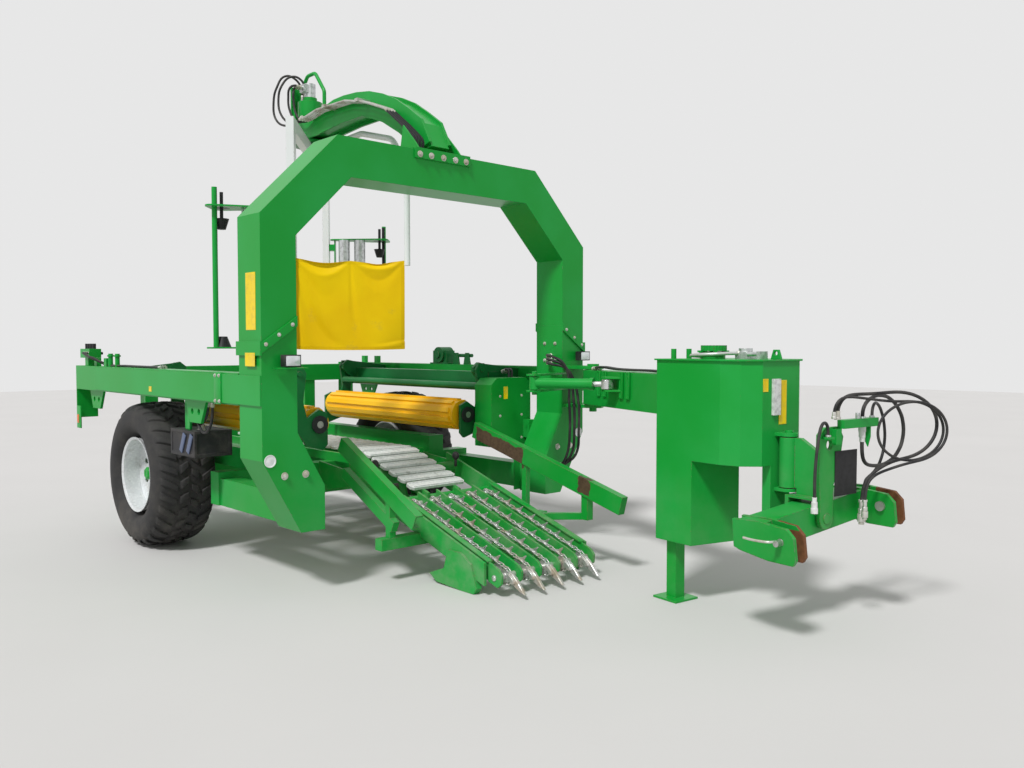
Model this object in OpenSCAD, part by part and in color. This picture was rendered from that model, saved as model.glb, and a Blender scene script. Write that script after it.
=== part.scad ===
// Trailed wrapper for square bales: wheels and portal arch, overhead turning
// satellite with two film dispensers, chain pick-up ramp, bale rollers and a
// swinging drawbar with an oil tank tower and a lower-link hitch.
// X points forward to the hitch, Y to the machine's left, Z up. The origin is
// on the ground under the middle of the overall box.

/* [Wheels] */
// Outside diameter of the tyres, over the lugs
tyre_d = 1170; // [1100:5:1200]
// Width of the tyres
tyre_w = 500; // [440:5:520]
// Diameter of the rim flange
rim_d = 600; // [560:5:640]
// Distance between the two tyre centres
track = 2420; // [2380:5:2460]
// Place of the axle along the machine
axle_x = -1900; // [-2000:10:-1850]
// Height of the tread lugs
lug_h = 22; // [10:1:30]

/* [Portal arch] */
// Overall width of the arch
arch_w = 2922; // [2900:2:2960]
// Height of the top of the arch
arch_top = 3000; // [2950:10:3100]
// Depth of the box section along the machine
arch_depth = 300; // [260:5:330]
// Width of each leg box
leg_w = 246; // [230:2:260]
// Height of the top box
arch_box = 265; // [240:5:300]
// Rear face of the arch along the machine
arch_x = 30; // [0:5:60]
// Height of the leg joint on the outside
leg_joint = 1620; // [1560:10:1700]
// Height of the bottom of the legs
leg_bottom = 420; // [380:10:450]

/* [Side beams] */
// Height of the bottom of the side beams
beam_z = 1235; // [1225:5:1260]
// Height of the side beams
beam_h = 210; // [180:5:220]
// Width of the side beams
beam_w = 140; // [100:5:145]
// Rear end of the side beams
beam_rear = -3170; // [-3250:10:-3100]

/* [Satellite] */
// Place of the satellite axis along the machine
sat_x = -1550; // [-1600:10:-1500]
// Radius from the axis to the white posts
post_r = 1030; // [1000:5:1060]
// Angle of the arms at rest
arm_angle = -38.5; // [-60:0.5:-20]
// Height of the top of the white arms
arm_top = 3350; // [3320:5:3380]
// Height of the underside of the dispensers
disp_z = 1600; // [1590:5:1640]
// Height from the lower to the upper dispenser plate
disp_h = 1060; // [1000:10:1100]

/* [Boom] */
// Height of the highest point of the boom plates above the arch
boom_rise = 640; // [600:5:700]
// Depth of the boom plates
boom_h = 185; // [160:5:200]
// Distance between the outer faces of the boom plates
boom_w = 200; // [160:5:240]

/* [Rollers] */
// Diameter of the bale rollers
roller_d = 260; // [220:5:280]
// Length of the bale rollers
roller_len = 1980; // [1800:10:2050]
// Distance of the roller axis from the machine centre
roller_y = 700; // [680:5:760]
// Height of the roller axis
roller_z = 1050; // [1020:5:1100]
// Front end of the rollers
roller_x = -330; // [-340:10:-310]
// Height of the pivot of the roller frames
swing_z = 1420; // [1400:5:1440]
// Distance of that pivot from the machine centre
swing_y = 860; // [840:5:900]

/* [Ramp] */
// Middle of the ramp across the machine
ramp_y = 160; // [120:5:200]
// Distance between two pick-up chains
chain_pitch = 175; // [160:1:180]
// Slope of the ramp in degrees
ramp_slope = 17.85; // [16:0.05:19]
// Height of the top of the bale bed
bed_top = 785; // [770:5:800]
// Place of the ramp pivot along the machine
ramp_px = -400; // [-420:5:-380]
// Height of the ramp pivot
ramp_pz = 600; // [590:5:610]
// Length of the silver slats
slat_len = 520; // [440:10:560]

/* [Drawbar] */
// Place of the drawbar pivot along the machine
swing_px = 565; // [540:5:600]
// Place of the drawbar pivot across the machine
swing_py = 1330; // [1290:5:1340]
// Height of the underside of the drawbar beam
bar_z = 1150; // [1120:5:1180]
// Height of the drawbar beam
bar_h = 280; // [240:5:300]
// Width of the drawbar beam
bar_w = 200; // [160:5:220]

/* [Tank tower] */
// Centre of the tower along the machine
tower_x = 2280; // [2240:10:2320]
// Centre of the tower across the machine
tower_y = 730; // [700:5:760]
// Turn of the tower about its own centre in degrees
tower_yaw = -7; // [-12:0.5:0]
// Length of the tower
tower_len = 720; // [680:10:760]
// Width of the tower
tower_w = 620; // [560:10:660]
// Height of the tower's lid
tower_top = 1530; // [1500:5:1560]
// Height of the underside of the tank
tank_bottom = 915; // [880:5:950]
// Height of the lower end of the column
column_bottom = 390; // [370:5:420]

/* [Hitch] */
// Distance between the middles of the two hitch forks
fork_span = 930; // [880:5:970]
// Diameter of the hitch pins
hitch_pin_d = 37; // [28:1:50]
// Width of the gap in each fork
fork_gap = 62; // [55:1:80]
// Height of the middle of the cross tube
hitch_z = 640; // [620:5:660]
// Distance of the pins in front of the cross tube
pin_fwd = 200; // [180:5:220]

/* [Hidden] */

GREEN = "#129a35";
DARK_GREEN = "#0c6b2a";
YELLOW = "#f5b400";
WHITE = "#eef0ee";
SILVER = "#b9bcbc";
BLACK = "#1b1c1d";

// Running clearance of a shaft in its bore, and of pieces that only touch
fit = 0.05;
seat = 0.3;
plate = 12;
$fn = 48;

// Routes of the three hydraulic hoses, from the gland to the coupler
hose_1_route = [[3010, 950, 1210], [3010, 950, 1230], [3010, 950, 1250], [3015, 990, 1300],
    [3025, 1090, 1330], [3035, 1210, 1320], [3040, 1320, 1270], [3045, 1400, 1190],
    [3045, 1430, 1100], [3040, 1410, 1010], [3030, 1340, 940], [3015, 1250, 905],
    [3000, 1150, 900], [2995, 1050, 915], [3000, 985, 950], [3005, 965, 990],
    [3005, 960, 1020], [3005, 960, 1040], [3005, 960, 1060]];
hose_2_route = [[3020, 1050, 1210], [3020, 1050, 1225], [3020, 1050, 1240], [3010, 1085, 1270],
    [2990, 1160, 1285], [2970, 1260, 1250], [2960, 1335, 1170], [2960, 1360, 1070],
    [2960, 1340, 970], [2965, 1270, 890], [2970, 1180, 850], [2985, 1090, 838],
    [3005, 1010, 830], [3015, 975, 800], [3015, 970, 770], [3015, 970, 750], [3015, 970, 730]];
hose_3_route = [[2970, 625, 1120], [2970, 625, 1140], [2970, 625, 1160], [2970, 595, 1200],
    [2970, 550, 1190], [2970, 520, 1120], [2965, 505, 1010], [2960, 500, 900],
    [2960, 500, 820], [2960, 500, 800], [2960, 500, 780]];
hose_1_d = 22;
hose_d = 18;

half_w = arch_w / 2;
boom_apex = arch_top + boom_rise;
arch_x1 = arch_x + arch_depth;
leg_in = half_w - leg_w;
beam_top = beam_z + beam_h;
axle_z = tyre_d / 2;
outer_y = track / 2 + tyre_w / 2;

// Boxes, rods and plates between named faces
module block(x, y, z) {
    translate([x[0], y[0], z[0]]) cube([x[1] - x[0], y[1] - y[0], z[1] - z[0]]);
}
module rod_x(d, x, y, z) {
    translate([x[0], y, z]) rotate([0, 90, 0]) cylinder(d = d, h = x[1] - x[0]);
}
module rod_y(d, x, y, z) {
    translate([x, y[1], z]) rotate([90, 0, 0]) cylinder(d = d, h = y[1] - y[0]);
}
module rod_z(d, x, y, z) {
    translate([x, y, z[0]]) cylinder(d = d, h = z[1] - z[0]);
}
// A plate drawn in X and Z, thick along Y
module side_plate(points, y) {
    translate([0, y[1], 0]) rotate([90, 0, 0]) linear_extrude(y[1] - y[0]) polygon(points);
}
// A plate drawn in Y and Z, thick along X
module cross_plate(points, x) {
    translate([x[0], 0, 0]) rotate([90, 0, 90]) linear_extrude(x[1] - x[0]) polygon(points);
}
// A square bar from one point to another
module bar(p, q, w, h) {
    d = q - p;
    flat = norm([d[0], d[1]]);
    translate(p) rotate([0, -atan2(d[2], flat), atan2(d[1], d[0])])
        translate([0, -w / 2, -h / 2]) cube([norm(d), w, h]);
}
function unit(v) = v / norm(v);
// Points along a path whose corners are rounded to radius r
function corner(p, u, v, r) =
    let(turn = acos(min(1, u * v)), centre = p + r / cos(turn / 2) * unit(v - u),
        a = p - r * tan(turn / 2) * u - centre, b = p + r * tan(turn / 2) * v - centre,
        steps = max(2, ceil(turn / 15)))
    turn < 1 ? [p] : [for (k = [0 : steps])
        centre + (sin(turn * (1 - k / steps)) * a + sin(turn * k / steps) * b) / sin(turn)];
function rounded(points, r) = [for (i = [0 : len(points) - 1])
    each i == 0 || i == len(points) - 1 ? [points[i]] :
        corner(points[i], unit(points[i] - points[i - 1]), unit(points[i + 1] - points[i]), r)];
// A normal at each point, carried along the path without twist
function normals(t, n, i) = i == len(t) ? [] :
    let(m = unit(n - (n * t[i]) * t[i])) concat([m], normals(t, m, i + 1));
// A round tube swept along a path
module swept(path, d, sides = 12) {
    last = len(path) - 1;
    t = [for (i = [0 : last]) unit(path[min(last, i + 1)] - path[max(0, i - 1)])];
    n = normals(t, abs(t[0][2]) > 0.9 ? [1, 0, 0] : [0, 0, 1], 0);
    rings = [for (i = [0 : last]) for (k = [0 : sides - 1])
        path[i] + d / 2 * (cos(360 * k / sides) * n[i] + sin(360 * k / sides) * cross(t[i], n[i]))];
    faces = [for (i = [0 : last - 1]) for (k = [0 : sides - 1])
        let(a = i * sides + k, b = i * sides + (k + 1) % sides) [a, a + sides, b + sides, b]];
    polyhedron(rings, concat(faces, [[for (k = [0 : sides - 1]) k],
        [for (k = [sides - 1 : -1 : 0]) last * sides + k]]));
}
// A bent tube through points given as X and Z
module bent_tube(points, r, d, sides = 12) {
    swept(rounded([for (p = points) [p[0], 0, p[1]]], r), d, sides);
}
// A smooth curve through the points, as n steps from each point to the next
function curve_at(a, b, c, d, t) =
    (2 * b + (c - a) * t + (2 * a - 5 * b + 4 * c - d) * t * t + (3 * b - a - 3 * c + d) * t * t * t) / 2;
function curve(p, n) = let(last = len(p) - 1)
    [for (i = [0 : last - 1]) for (k = [0 : n - 1])
        curve_at(p[max(0, i - 1)], p[i], p[i + 1], p[min(last, i + 2)], k / n), p[last]];
module mirrored(side) {
    if (side > 0) children();
    else mirror([0, 1, 0]) children();
}

// Portal arch: the upper box and the two leg sockets share one slanted joint
joint_rise = 170;
corner_in = 415;
corner_z = arch_top - 560;
arch_half = [[half_w, leg_joint], [half_w, corner_z], [half_w - 560, arch_top],
    [0, arch_top], [0, arch_top - arch_box], [leg_in - corner_in, arch_top - arch_box],
    [leg_in, arch_top - arch_box - corner_in], [leg_in, leg_joint + joint_rise]];
foot_in = half_w - 441;
foot_out = half_w - 266;
leg_side = [[half_w, leg_joint], [leg_in, leg_joint + joint_rise], [leg_in, 1066],
    [foot_in, 711], [foot_in, leg_bottom], [foot_out, leg_bottom], [half_w, 900]];

module arch() {
    color(GREEN) {
        for (side = [-1, 1])
            mirrored(side) cross_plate(arch_half, [arch_x, arch_x1]);
    }
}

strap_t = 14;
module leg(side) {
    // cheek straps over the slanted joint, front and rear
    strap = [[half_w, leg_joint - 45], [half_w, leg_joint + 20],
        [leg_in, leg_joint + joint_rise + 20], [leg_in, leg_joint + joint_rise - 45]];
    color(GREEN) mirrored(side) {
        cross_plate(leg_side, [arch_x, arch_x1]);
        cross_plate(strap, [arch_x1, arch_x1 + strap_t]);
        cross_plate(strap, [arch_x - strap_t, arch_x]);
        block([arch_x - strap_t, arch_x1 + strap_t], [half_w, half_w + strap_t],
            [leg_joint - 60, leg_joint + 30]);
    }
}

// Side beams with the lug brackets that hang below them
lug_bracket = [[0, 0], [0, 30], [340, 30], [340, 0], [250, -160], [70, -160]];
module lug_plate(x, side) {
    difference() {
        translate([x, 0, beam_z]) side_plate(lug_bracket, [beam_out - 60, beam_out - 40]);
        for (i = [0, 1])
            translate([x + 110 + 110 * i, 0, beam_z - 80])
                rod_y(44, 0, [beam_out - 70, beam_out - 30], 0);
    }
}
beam_out = half_w;
module side_beam(side) {
    color(GREEN) mirrored(side) {
        block([beam_rear, arch_x - strap_t], [beam_out - beam_w, beam_out], [beam_z, beam_top]);
        block([beam_rear + 500, arch_x1], [beam_out, beam_out + plate],
            [beam_z + 10, beam_top - 10]);
        for (x = [beam_rear + 230, arch_x - 930])
            lug_plate(x, side);
        for (x = [beam_rear + 320, beam_rear + 560])
            block([x, x + 60], [beam_out - 90, beam_out - 50], [beam_top, beam_top + 70]);
    }
}

// Lower frame: inner rails, cross members and the outriggers to the legs
rail_in = 780;
rail_out = 900;
rail_z = [axle_z + 80, axle_z + 240];
front_cross_x = -1000;
bed_bottom = bed_top - 100;
module main_frame() {
    color(GREEN) {
        for (side = [-1, 1]) mirrored(side) {
            block([beam_rear + 120, front_cross_x], [rail_in, rail_out], rail_z);
            block([front_cross_x + 130, arch_x], [foot_in + 20, foot_out - 15], [440, 640]);
            block([arch_x - 12, arch_x], [foot_in - 60, foot_out], [430, 700]);
            block([front_cross_x, front_cross_x + 130], [rail_in - 20, rail_out + 20], [440, rail_z[1]]);
        }
        block([front_cross_x, front_cross_x + 130], [-foot_out, foot_out], [440, bed_bottom]);
        block([beam_rear + 40, beam_rear + 120], [-rail_out, rail_out], rail_z);
        block([axle_x - 330, axle_x - 230], [-rail_in, rail_in], [bed_bottom - 80, bed_bottom]);
    }
}

stub_d = 70;
module axle() {
    color(GREEN) {
        block([axle_x - 75, axle_x + 75], [-(outer_y - tyre_w - 40), outer_y - tyre_w - 40],
            [axle_z - 75, axle_z + 80]);
        for (side = [-1, 1]) mirrored(side)
            rod_y(stub_d, axle_x, [outer_y - tyre_w - 40, outer_y - 150], axle_z);
    }
}

// Rear frame under the side beams
module rear_frame() {
    color(GREEN) {
        block([beam_rear, beam_rear + 140], [-(beam_out - beam_w), beam_out - beam_w],
            [beam_z + 20, beam_top - 20]);
        for (side = [-1, 1]) mirrored(side) {
            block([beam_rear + 10, beam_rear + 130], [rail_in, rail_out], [rail_z[1], beam_z + 20]);
            block([beam_rear - 12, beam_rear], [beam_out - 180, beam_out], [beam_z - 260, beam_top]);
        }
    }
}

// Boom: crescent plates from the arch top to the satellite drive
boom_base_x = arch_x1 + 40;
boom_seat_x = arch_x + 20;
boom_tip_x = sat_x - 180;
boom_top_line = [[boom_base_x - 100, arch_top + 88], [169, boom_apex - 370],
    [12, boom_apex - 265], [-150, boom_apex - 166], [-318, boom_apex - 93],
    [-492, boom_apex - 40], [-673, boom_apex - 12], [-860, boom_apex], [-1015, boom_apex - 4],
    [-1300, boom_apex - 60], [boom_tip_x, boom_apex - 60]];
boom_low_line = [[boom_tip_x, boom_apex - 60 - boom_h], [-1300, boom_apex - 60 - boom_h],
    [-900, boom_apex - 30 - boom_h], [-600, boom_apex - 210], [-318, boom_apex - 310],
    [-100, boom_apex - 430], [60, arch_top + 86],
    [arch_x + 20, arch_top + plate]];
// How far the closing plates lie behind the edges of the side plates
web_drop = 30;
module boom() {
    color(GREEN) {
        for (y = [-boom_w / 2, boom_w / 2 - 20])
            side_plate(concat(boom_top_line, boom_low_line), [y, y + 20]);
        inner = concat(
            [for (p = boom_top_line) [p[0], p[1] - web_drop]],
            [for (p = boom_low_line) [p[0], p[1] + (p[0] < 0 ? web_drop : 0)]]);
        side_plate(inner, [-boom_w / 2 + 20, boom_w / 2 - 20]);
        block([arch_x + 20, arch_x1 - 20], [-280, 220], [arch_top, arch_top + plate]);
        block([arch_x1, arch_x1 + 14], [-280, 220], [arch_top - 62, arch_top + plate]);
        for (y = [-225, 155])
            side_plate([[boom_seat_x + 30, arch_top + plate], [boom_seat_x + 70, arch_top + 210],
                [boom_base_x - 100, arch_top + 60], [boom_base_x - 60, arch_top + plate]],
                [y, y + plate]);
    }
}

pipe_d = 18;
pipe_gap = 26;
pipe_line = [[210, arch_top + plate], [210, arch_top + 110], [60, arch_top + 230],
    [-160, boom_apex - 250], [-430, boom_apex - 150], [-700, boom_apex - 90],
    [-1120, boom_apex - 80], [-1330, boom_apex - 110]];
module boom_pipes() {
    color(SILVER) for (i = [0 : 3])
        translate([0, -boom_w / 2 - 14 - pipe_gap * i, 0]) bent_tube(pipe_line, 60, pipe_d, 8);
    color(GREEN) for (p = [[-520, boom_apex - 140], [-1000, boom_apex - 95]])
        block([p[0], p[0] + 40], [-boom_w / 2 - 118, -boom_w / 2], [p[1], p[1] + 26]);
}

// Slew drive on the boom's end: flange, gear housing, motor and hoop guard
hub_top = boom_apex - 60 - boom_h;
module slew_drive() {
    color(GREEN) {
        difference() {
            rod_z(300, sat_x, 0, [hub_top - 25, hub_top]);
            rod_z(90 + 2 * fit, sat_x, 0, [hub_top - 26, hub_top - 5]);
        }
        rod_z(210, sat_x, 0, [boom_apex - 60, boom_apex + 90]);
        rod_z(120, sat_x, 0, [boom_apex + 90, boom_apex + 130]);
        // upright plate behind the boom's end, with two ribs
        block([boom_tip_x - 24, boom_tip_x], [-75, 75], [hub_top, boom_apex + 250]);
        for (s = [-1, 1])
            side_plate([[boom_tip_x, boom_apex + 240], [boom_tip_x + 46, boom_apex - 60 - web_drop],
                [boom_tip_x, boom_apex - 60 - web_drop]], [s * 60 - 6, s * 60 + 6]);
        bent_tube([[sat_x - 150, boom_apex - 60 - web_drop], [sat_x - 150, boom_apex + 200],
            [sat_x - 40, boom_apex + 330], [sat_x + 90, boom_apex + 330],
            [sat_x + 235, boom_apex + 150], [sat_x + 235, boom_apex - 60 - web_drop]], 60, 32);
    }
    // motor with its port block
    color(SILVER) {
        rod_z(96, sat_x, 0, [boom_apex + 130, boom_apex + 250]);
        block([sat_x - 36, sat_x + 36], [-80, -30], [boom_apex + 170, boom_apex + 235]);
        for (x = [sat_x - 18, sat_x + 18])
            rod_y(22, x, [-104, -80], boom_apex + 205);
    }
}

// Satellite: hub, white arms and posts, dispensers, hoop and cloth
arm_h = 100;
arm_w = 60;
module on_satellite(angle) {
    translate([sat_x, 0, 0]) rotate([0, 0, angle]) children();
}
module satellite_hub() {
    color(DARK_GREEN) {
        rod_z(280, sat_x, 0, [arm_top, hub_top - 25 - seat]);
        rod_z(90, sat_x, 0, [arm_top, hub_top - 6]);
        // tongue that carries the foot of the safety hoop
        translate([sat_x, 0, 0]) rotate([0, 0, hoop_angle])
            block([0, 240], [-30, 30], [arm_top, arm_top + 16]);
    }
}
post_bottom = disp_z;
module satellite_arms() {
    color(WHITE) on_satellite(arm_angle) {
        block([-post_r - arm_h / 2, post_r + arm_h / 2], [-arm_w / 2, arm_w / 2],
            [arm_top - arm_h, arm_top]);
        for (s = [-1, 1])
            block([s * post_r - arm_h / 2, s * post_r + arm_h / 2], [-arm_w / 2, arm_w / 2],
                [post_bottom, arm_top - arm_h]);
    }
}
// One film dispenser: plates, spindle, pre-stretch rollers, tension rod
spindle = [440, -530];
disp_out = 640;
module dispenser() {
    z0 = disp_z;
    z1 = disp_z + disp_h;
    module plan(t) {
        linear_extrude(t) hull() {
            translate([post_r - 10, -90]) circle(r = 50);
            translate([post_r - 60, -540]) circle(r = 70);
            translate([post_r + 90, -560]) circle(r = 60);
        }
    }
    color(GREEN) {
        for (z = [z0, z1]) translate([0, 0, z]) plan(plate);
        rod_z(40, post_r + 60, -560, [z0 + plate, z1 + 150]);
        block([post_r - 40, post_r + 40], [-90, -80], [z0, z1]);
        for (z = [z0 + 60, z1 - 100])
            block([post_r - 40, post_r + 40], [-80, -arm_w / 2], [z, z + 60]);
    }
    color(SILVER) for (p = [[post_r - 50, -180], [post_r - 50, -330]])
        rod_z(110, p[0], p[1], [z0 + plate, z1]);
    color(BLACK) {
        translate([post_r + 10, -520, z1 - 160]) cylinder(d1 = 60, d2 = 110, h = 80);
        translate([post_r + 10, -520, z0 + plate]) cylinder(d1 = 120, d2 = 60, h = 80);
        rod_z(26, post_r + 10, -520, [z1 - 80, z1 + 120]);
    }
}
module dispenser_front() { on_satellite(arm_angle) dispenser(); }
module dispenser_rear() { on_satellite(arm_angle + 180) dispenser(); }

hoop_reach = 1250;
hoop_angle = 5.5;
hoop_z = 2290;
hoop_d = 48;
module safety_hoop() {
    // from the hub out to the corner, and down to the upper edge of the cloth
    color(WHITE) translate([sat_x, 0, 0]) rotate([0, 0, hoop_angle]) {
        block([165, 235], [-30, 30], [arm_top - 24, arm_top]);
        bent_tube([[190, arm_top - 12 - hoop_d / 2], [700, arm_top + 10], [1080, arm_top - 90],
            [hoop_reach, arm_top - 330], [hoop_reach, hoop_z - 40]], 120, hoop_d);
    }
}
cloth_t = 6;
cloth_z = [1590, 2295];
cloth_side = 20;
module wind_cloth() {
    // from the face of the front post to the hoop's upright
    post = [post_r + cloth_side, arm_w / 2];
    hoop = hoop_reach * [cos(hoop_angle - arm_angle), sin(hoop_angle - arm_angle)];
    way = unit(hoop - post);
    start = post + (seat + 0.5) * way;
    reach = norm(hoop - start) - hoop_d / 2 - seat;
    color(YELLOW) on_satellite(arm_angle) translate([start[0], start[1], cloth_z[0]])
        rotate([0, 0, atan2(way[1], way[0])])
        translate([0, -cloth_t / 2, 0]) cube([reach, cloth_t, cloth_z[1] - cloth_z[0]]);
}

// Wheels: modelled for the left side with the outer face towards +Y
rim_w = 400;
wheel_y = track / 2;
// section of the tyre as radius and distance from its middle
tyre_half = [[rim_d / 2 - 8, 0], [rim_d / 2 - 8, rim_w / 2 - 18], [rim_d / 2 + 40, rim_w / 2 + 14],
    [rim_d / 2 + 120, tyre_w / 2], [tyre_d / 2 - lug_h - 60, tyre_w / 2 - 4],
    [tyre_d / 2 - lug_h - 22, tyre_w / 2 - 40], [tyre_d / 2 - lug_h, tyre_w / 2 - 110],
    [tyre_d / 2 - lug_h, 0]];
module revolve_y(points) {
    rotate([-90, 0, 0]) rotate_extrude($fn = 96) polygon(points);
}
module tyre(side) {
    flip = [for (i = [len(tyre_half) - 1 : -1 : 0]) [tyre_half[i][0], -tyre_half[i][1]]];
    color(BLACK) mirrored(side) translate([axle_x, wheel_y, axle_z]) {
        difference() {
            revolve_y(concat(tyre_half, flip));
            revolve_y([[rim_d / 2 - 20, -rim_w / 2 + 40], [rim_d / 2 + 50, -rim_w / 2 + 30],
                [rim_d / 2 + 120, -tyre_w / 2 + 26], [tyre_d / 2 - lug_h - 60, -tyre_w / 2 + 30],
                [tyre_d / 2 - lug_h - 30, -tyre_w / 2 + 100], [tyre_d / 2 - lug_h - 30, tyre_w / 2 - 100],
                [tyre_d / 2 - lug_h - 60, tyre_w / 2 - 30], [rim_d / 2 + 120, tyre_w / 2 - 26],
                [rim_d / 2 + 50, rim_w / 2 - 30], [rim_d / 2 - 20, rim_w / 2 - 40]]);
        }
        intersection() {
            rotate([90, 0, 0]) cylinder(d = tyre_d, h = tyre_w, center = true, $fn = 96);
            for (i = [0 : lug_count - 1]) for (s = [-1, 1])
                rotate([0, (i + (s > 0 ? 0.5 : 0)) * 360 / lug_count, 0])
                    translate([0, 0, tyre_d / 2 - lug_h - 6])
                        linear_extrude(lug_h + 16)
                            polygon([[-18, s * 12], [26, s * 12], [50, s * (tyre_w / 2 - 42)],
                                [-8, s * (tyre_w / 2 - 42)]]);
        }
    }
}
lug_count = 26;
module rim(side) {
    r = rim_d / 2;
    color(SILVER) mirrored(side) translate([axle_x, wheel_y, axle_z]) difference() {
        union() {
            // rim barrel with flanges and drop centre
            revolve_y([[r - 8 - seat, -rim_w / 2 + 6], [r - 8 - seat, rim_w / 2 - 14],
                [r + 2, rim_w / 2 + 4], [r + 2, rim_w / 2 + 12], [r - 18, rim_w / 2 + 2],
                [r - 20, rim_w / 2 - 20], [r - 20, -rim_w / 2 + 6]]);
            // disc, dished towards the inside of the wheel
            revolve_y([[stub_d / 2 + 8 + fit, -20], [110, -20], [150, 20], [r - 19, 60],
                [r - 19, 72], [146, 32], [104, -6], [stub_d / 2 + 8 + fit, -6]]);
            revolve_y([[stub_d / 2 + fit, -150], [90, -150], [90, -21], [120, -21],
                [120, -5], [80, -5], [80, 60], [50, 74], [stub_d / 2 + fit, 74]]);
        }
        for (i = [0 : 7]) rotate([0, 45 * i + 22.5, 0])
            translate([205, 90, 0]) rotate([90, 0, 0]) cylinder(d = 46, h = 120);
    }
}

// Bale bed: fixed frame and slats behind the ramp
bed_x = [-2850, -640];
bed_w = 700;
runner_y = slat_len / 2 - 50;
module bale_bed() {
    color(GREEN) {
        for (s = [-1, 1])
            block(bed_x, [ramp_y + s * bed_w / 2 - 15, ramp_y + s * bed_w / 2 + 15],
                [bed_bottom, bed_top - slat_t - 2]);
        for (x = [bed_x[0] + 20, -2300, -1400, front_cross_x])
            block([x, x + 80], [ramp_y - bed_w / 2 + 15, ramp_y + bed_w / 2 - 15],
                [bed_bottom, bed_bottom + 50]);
        // runners under the slats
        for (s = [-1, 1])
            block([bed_x[0], bed_x[1] - 60], [ramp_y + s * runner_y - 12, ramp_y + s * runner_y + 12],
                [bed_bottom + 50, bed_top - slat_t]);
    }
}
slat_pitch = 122;
slat_w = 98;
slat_t = 28;
slat_lip = 7;
module slat() {
    // one pressed slat with cut corners and a raised leading edge, lying along Y
    c = 22;
    linear_extrude(slat_t - slat_lip)
        polygon([for (p = [[1, 1], [-1, 1], [-1, -1], [1, -1]]) each [
            [p[0] * (slat_w / 2 - (p[0] == p[1] ? 0 : c)), p[1] * (slat_len / 2 - (p[0] == p[1] ? c : 0))],
            [p[0] * (slat_w / 2 - (p[0] == p[1] ? c : 0)), p[1] * (slat_len / 2 - (p[0] == p[1] ? 0 : c))]]]);
    translate([slat_w / 2 - 24, -slat_len / 2 + 26, slat_t - slat_lip]) cube([14, slat_len - 52, slat_lip]);
    translate([-slat_w / 2 + 10, -slat_len / 2 + 26, slat_t - slat_lip])
        cube([10, slat_len - 52, slat_lip - 3]);
}
module bed_slats() {
    color(SILVER) for (i = [0 : floor((bed_x[1] - bed_x[0] - 80) / slat_pitch)])
        translate([bed_x[1] - 60 - i * slat_pitch, ramp_y, bed_top - slat_t]) slat();
}

// Roller frames hang from beams between the side beams and the rollers
swing_x = [roller_x - roller_len - 90, roller_x + 60];
swing_pin = 40;
arm_t = 25;
carrier_t = 30;
roller_beam_y = [swing_y + 110, swing_y + 230];
module roller_beam(side) {
    carrier = [[swing_y - 55, swing_z + 20], [swing_y, swing_z + 62], [swing_y + 60, swing_z + 50],
        [beam_out - beam_w, beam_top - 20], [beam_out - beam_w, beam_z + 10],
        [roller_beam_y[1], beam_z + 5], [roller_beam_y[0], beam_z + 15],
        [swing_y - 20, swing_z - 60], [swing_y - 55, swing_z - 20]];
    color(DARK_GREEN) mirrored(side) {
        block([swing_x[0] - 40, swing_x[1] - arm_t - 12], roller_beam_y, [beam_z + 35, beam_top - 45]);
        for (x = [swing_x[0] + arm_t + 15, swing_x[1] - arm_t - 15 - carrier_t])
            cross_plate(carrier, [x, x + carrier_t]);
        rod_x(swing_pin, [swing_x[0] - 12, swing_x[0] + arm_t + 15], swing_y, swing_z);
        rod_x(swing_pin, [swing_x[1] - arm_t - 15, swing_x[1] + 12], swing_y, swing_z);
    }
}
// The swinging C arms with the long tube and the roller bearings
roller_shaft = 50;
c_arm = [[swing_y - 60, swing_z], [swing_y - 30, swing_z + 55], [swing_y + 30, swing_z + 55],
    [swing_y + 62, swing_z], [swing_y + 70, swing_z - 120], [swing_y + 60, swing_z - 300],
    [swing_y + 20, swing_z - 420], [swing_y - 60, swing_z - 520], [swing_y - 190, swing_z - 560],
    [swing_y - 230, swing_z - 520], [swing_y - 230, swing_z - 290], [swing_y - 160, swing_z - 260],
    [swing_y - 60, swing_z - 320], [swing_y - 30, swing_z - 200]];
module roller_frame(side) {
    color(DARK_GREEN) mirrored(side) {
        difference() {
            for (x = [swing_x[0], swing_x[1] - arm_t])
                cross_plate(c_arm, [x, x + arm_t]);
            rod_x(swing_pin + 2 * fit, [swing_x[0] - 1, swing_x[1] + 1], swing_y, swing_z);
            rod_x(roller_shaft + 2 * fit, [swing_x[0] - 1, swing_x[1] + 1], roller_y, roller_z);
        }
        rod_x(64, [swing_x[0] + arm_t, swing_x[1] - arm_t], swing_y - 10, swing_z - 140);
    }
}
module roller(side) {
    color(YELLOW) mirrored(side) {
        translate([roller_x - roller_len, roller_y, roller_z]) rotate([0, 90, 0])
            cylinder(d = roller_d - 30, h = roller_len);
        for (i = [0 : 9])
            translate([roller_x - roller_len + 40, roller_y, roller_z]) rotate([36 * i, 0, 0])
                translate([0, -20, roller_d / 2 - 18]) cube([roller_len - 80, 40, 18]);
        rod_x(roller_shaft, [swing_x[0] - 6, swing_x[1] + 6], roller_y, roller_z);
        // round shield on the front end of the shaft
        rod_x(130, [swing_x[1] + 6, swing_x[1] + 16], roller_y, roller_z);
    }
}

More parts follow.
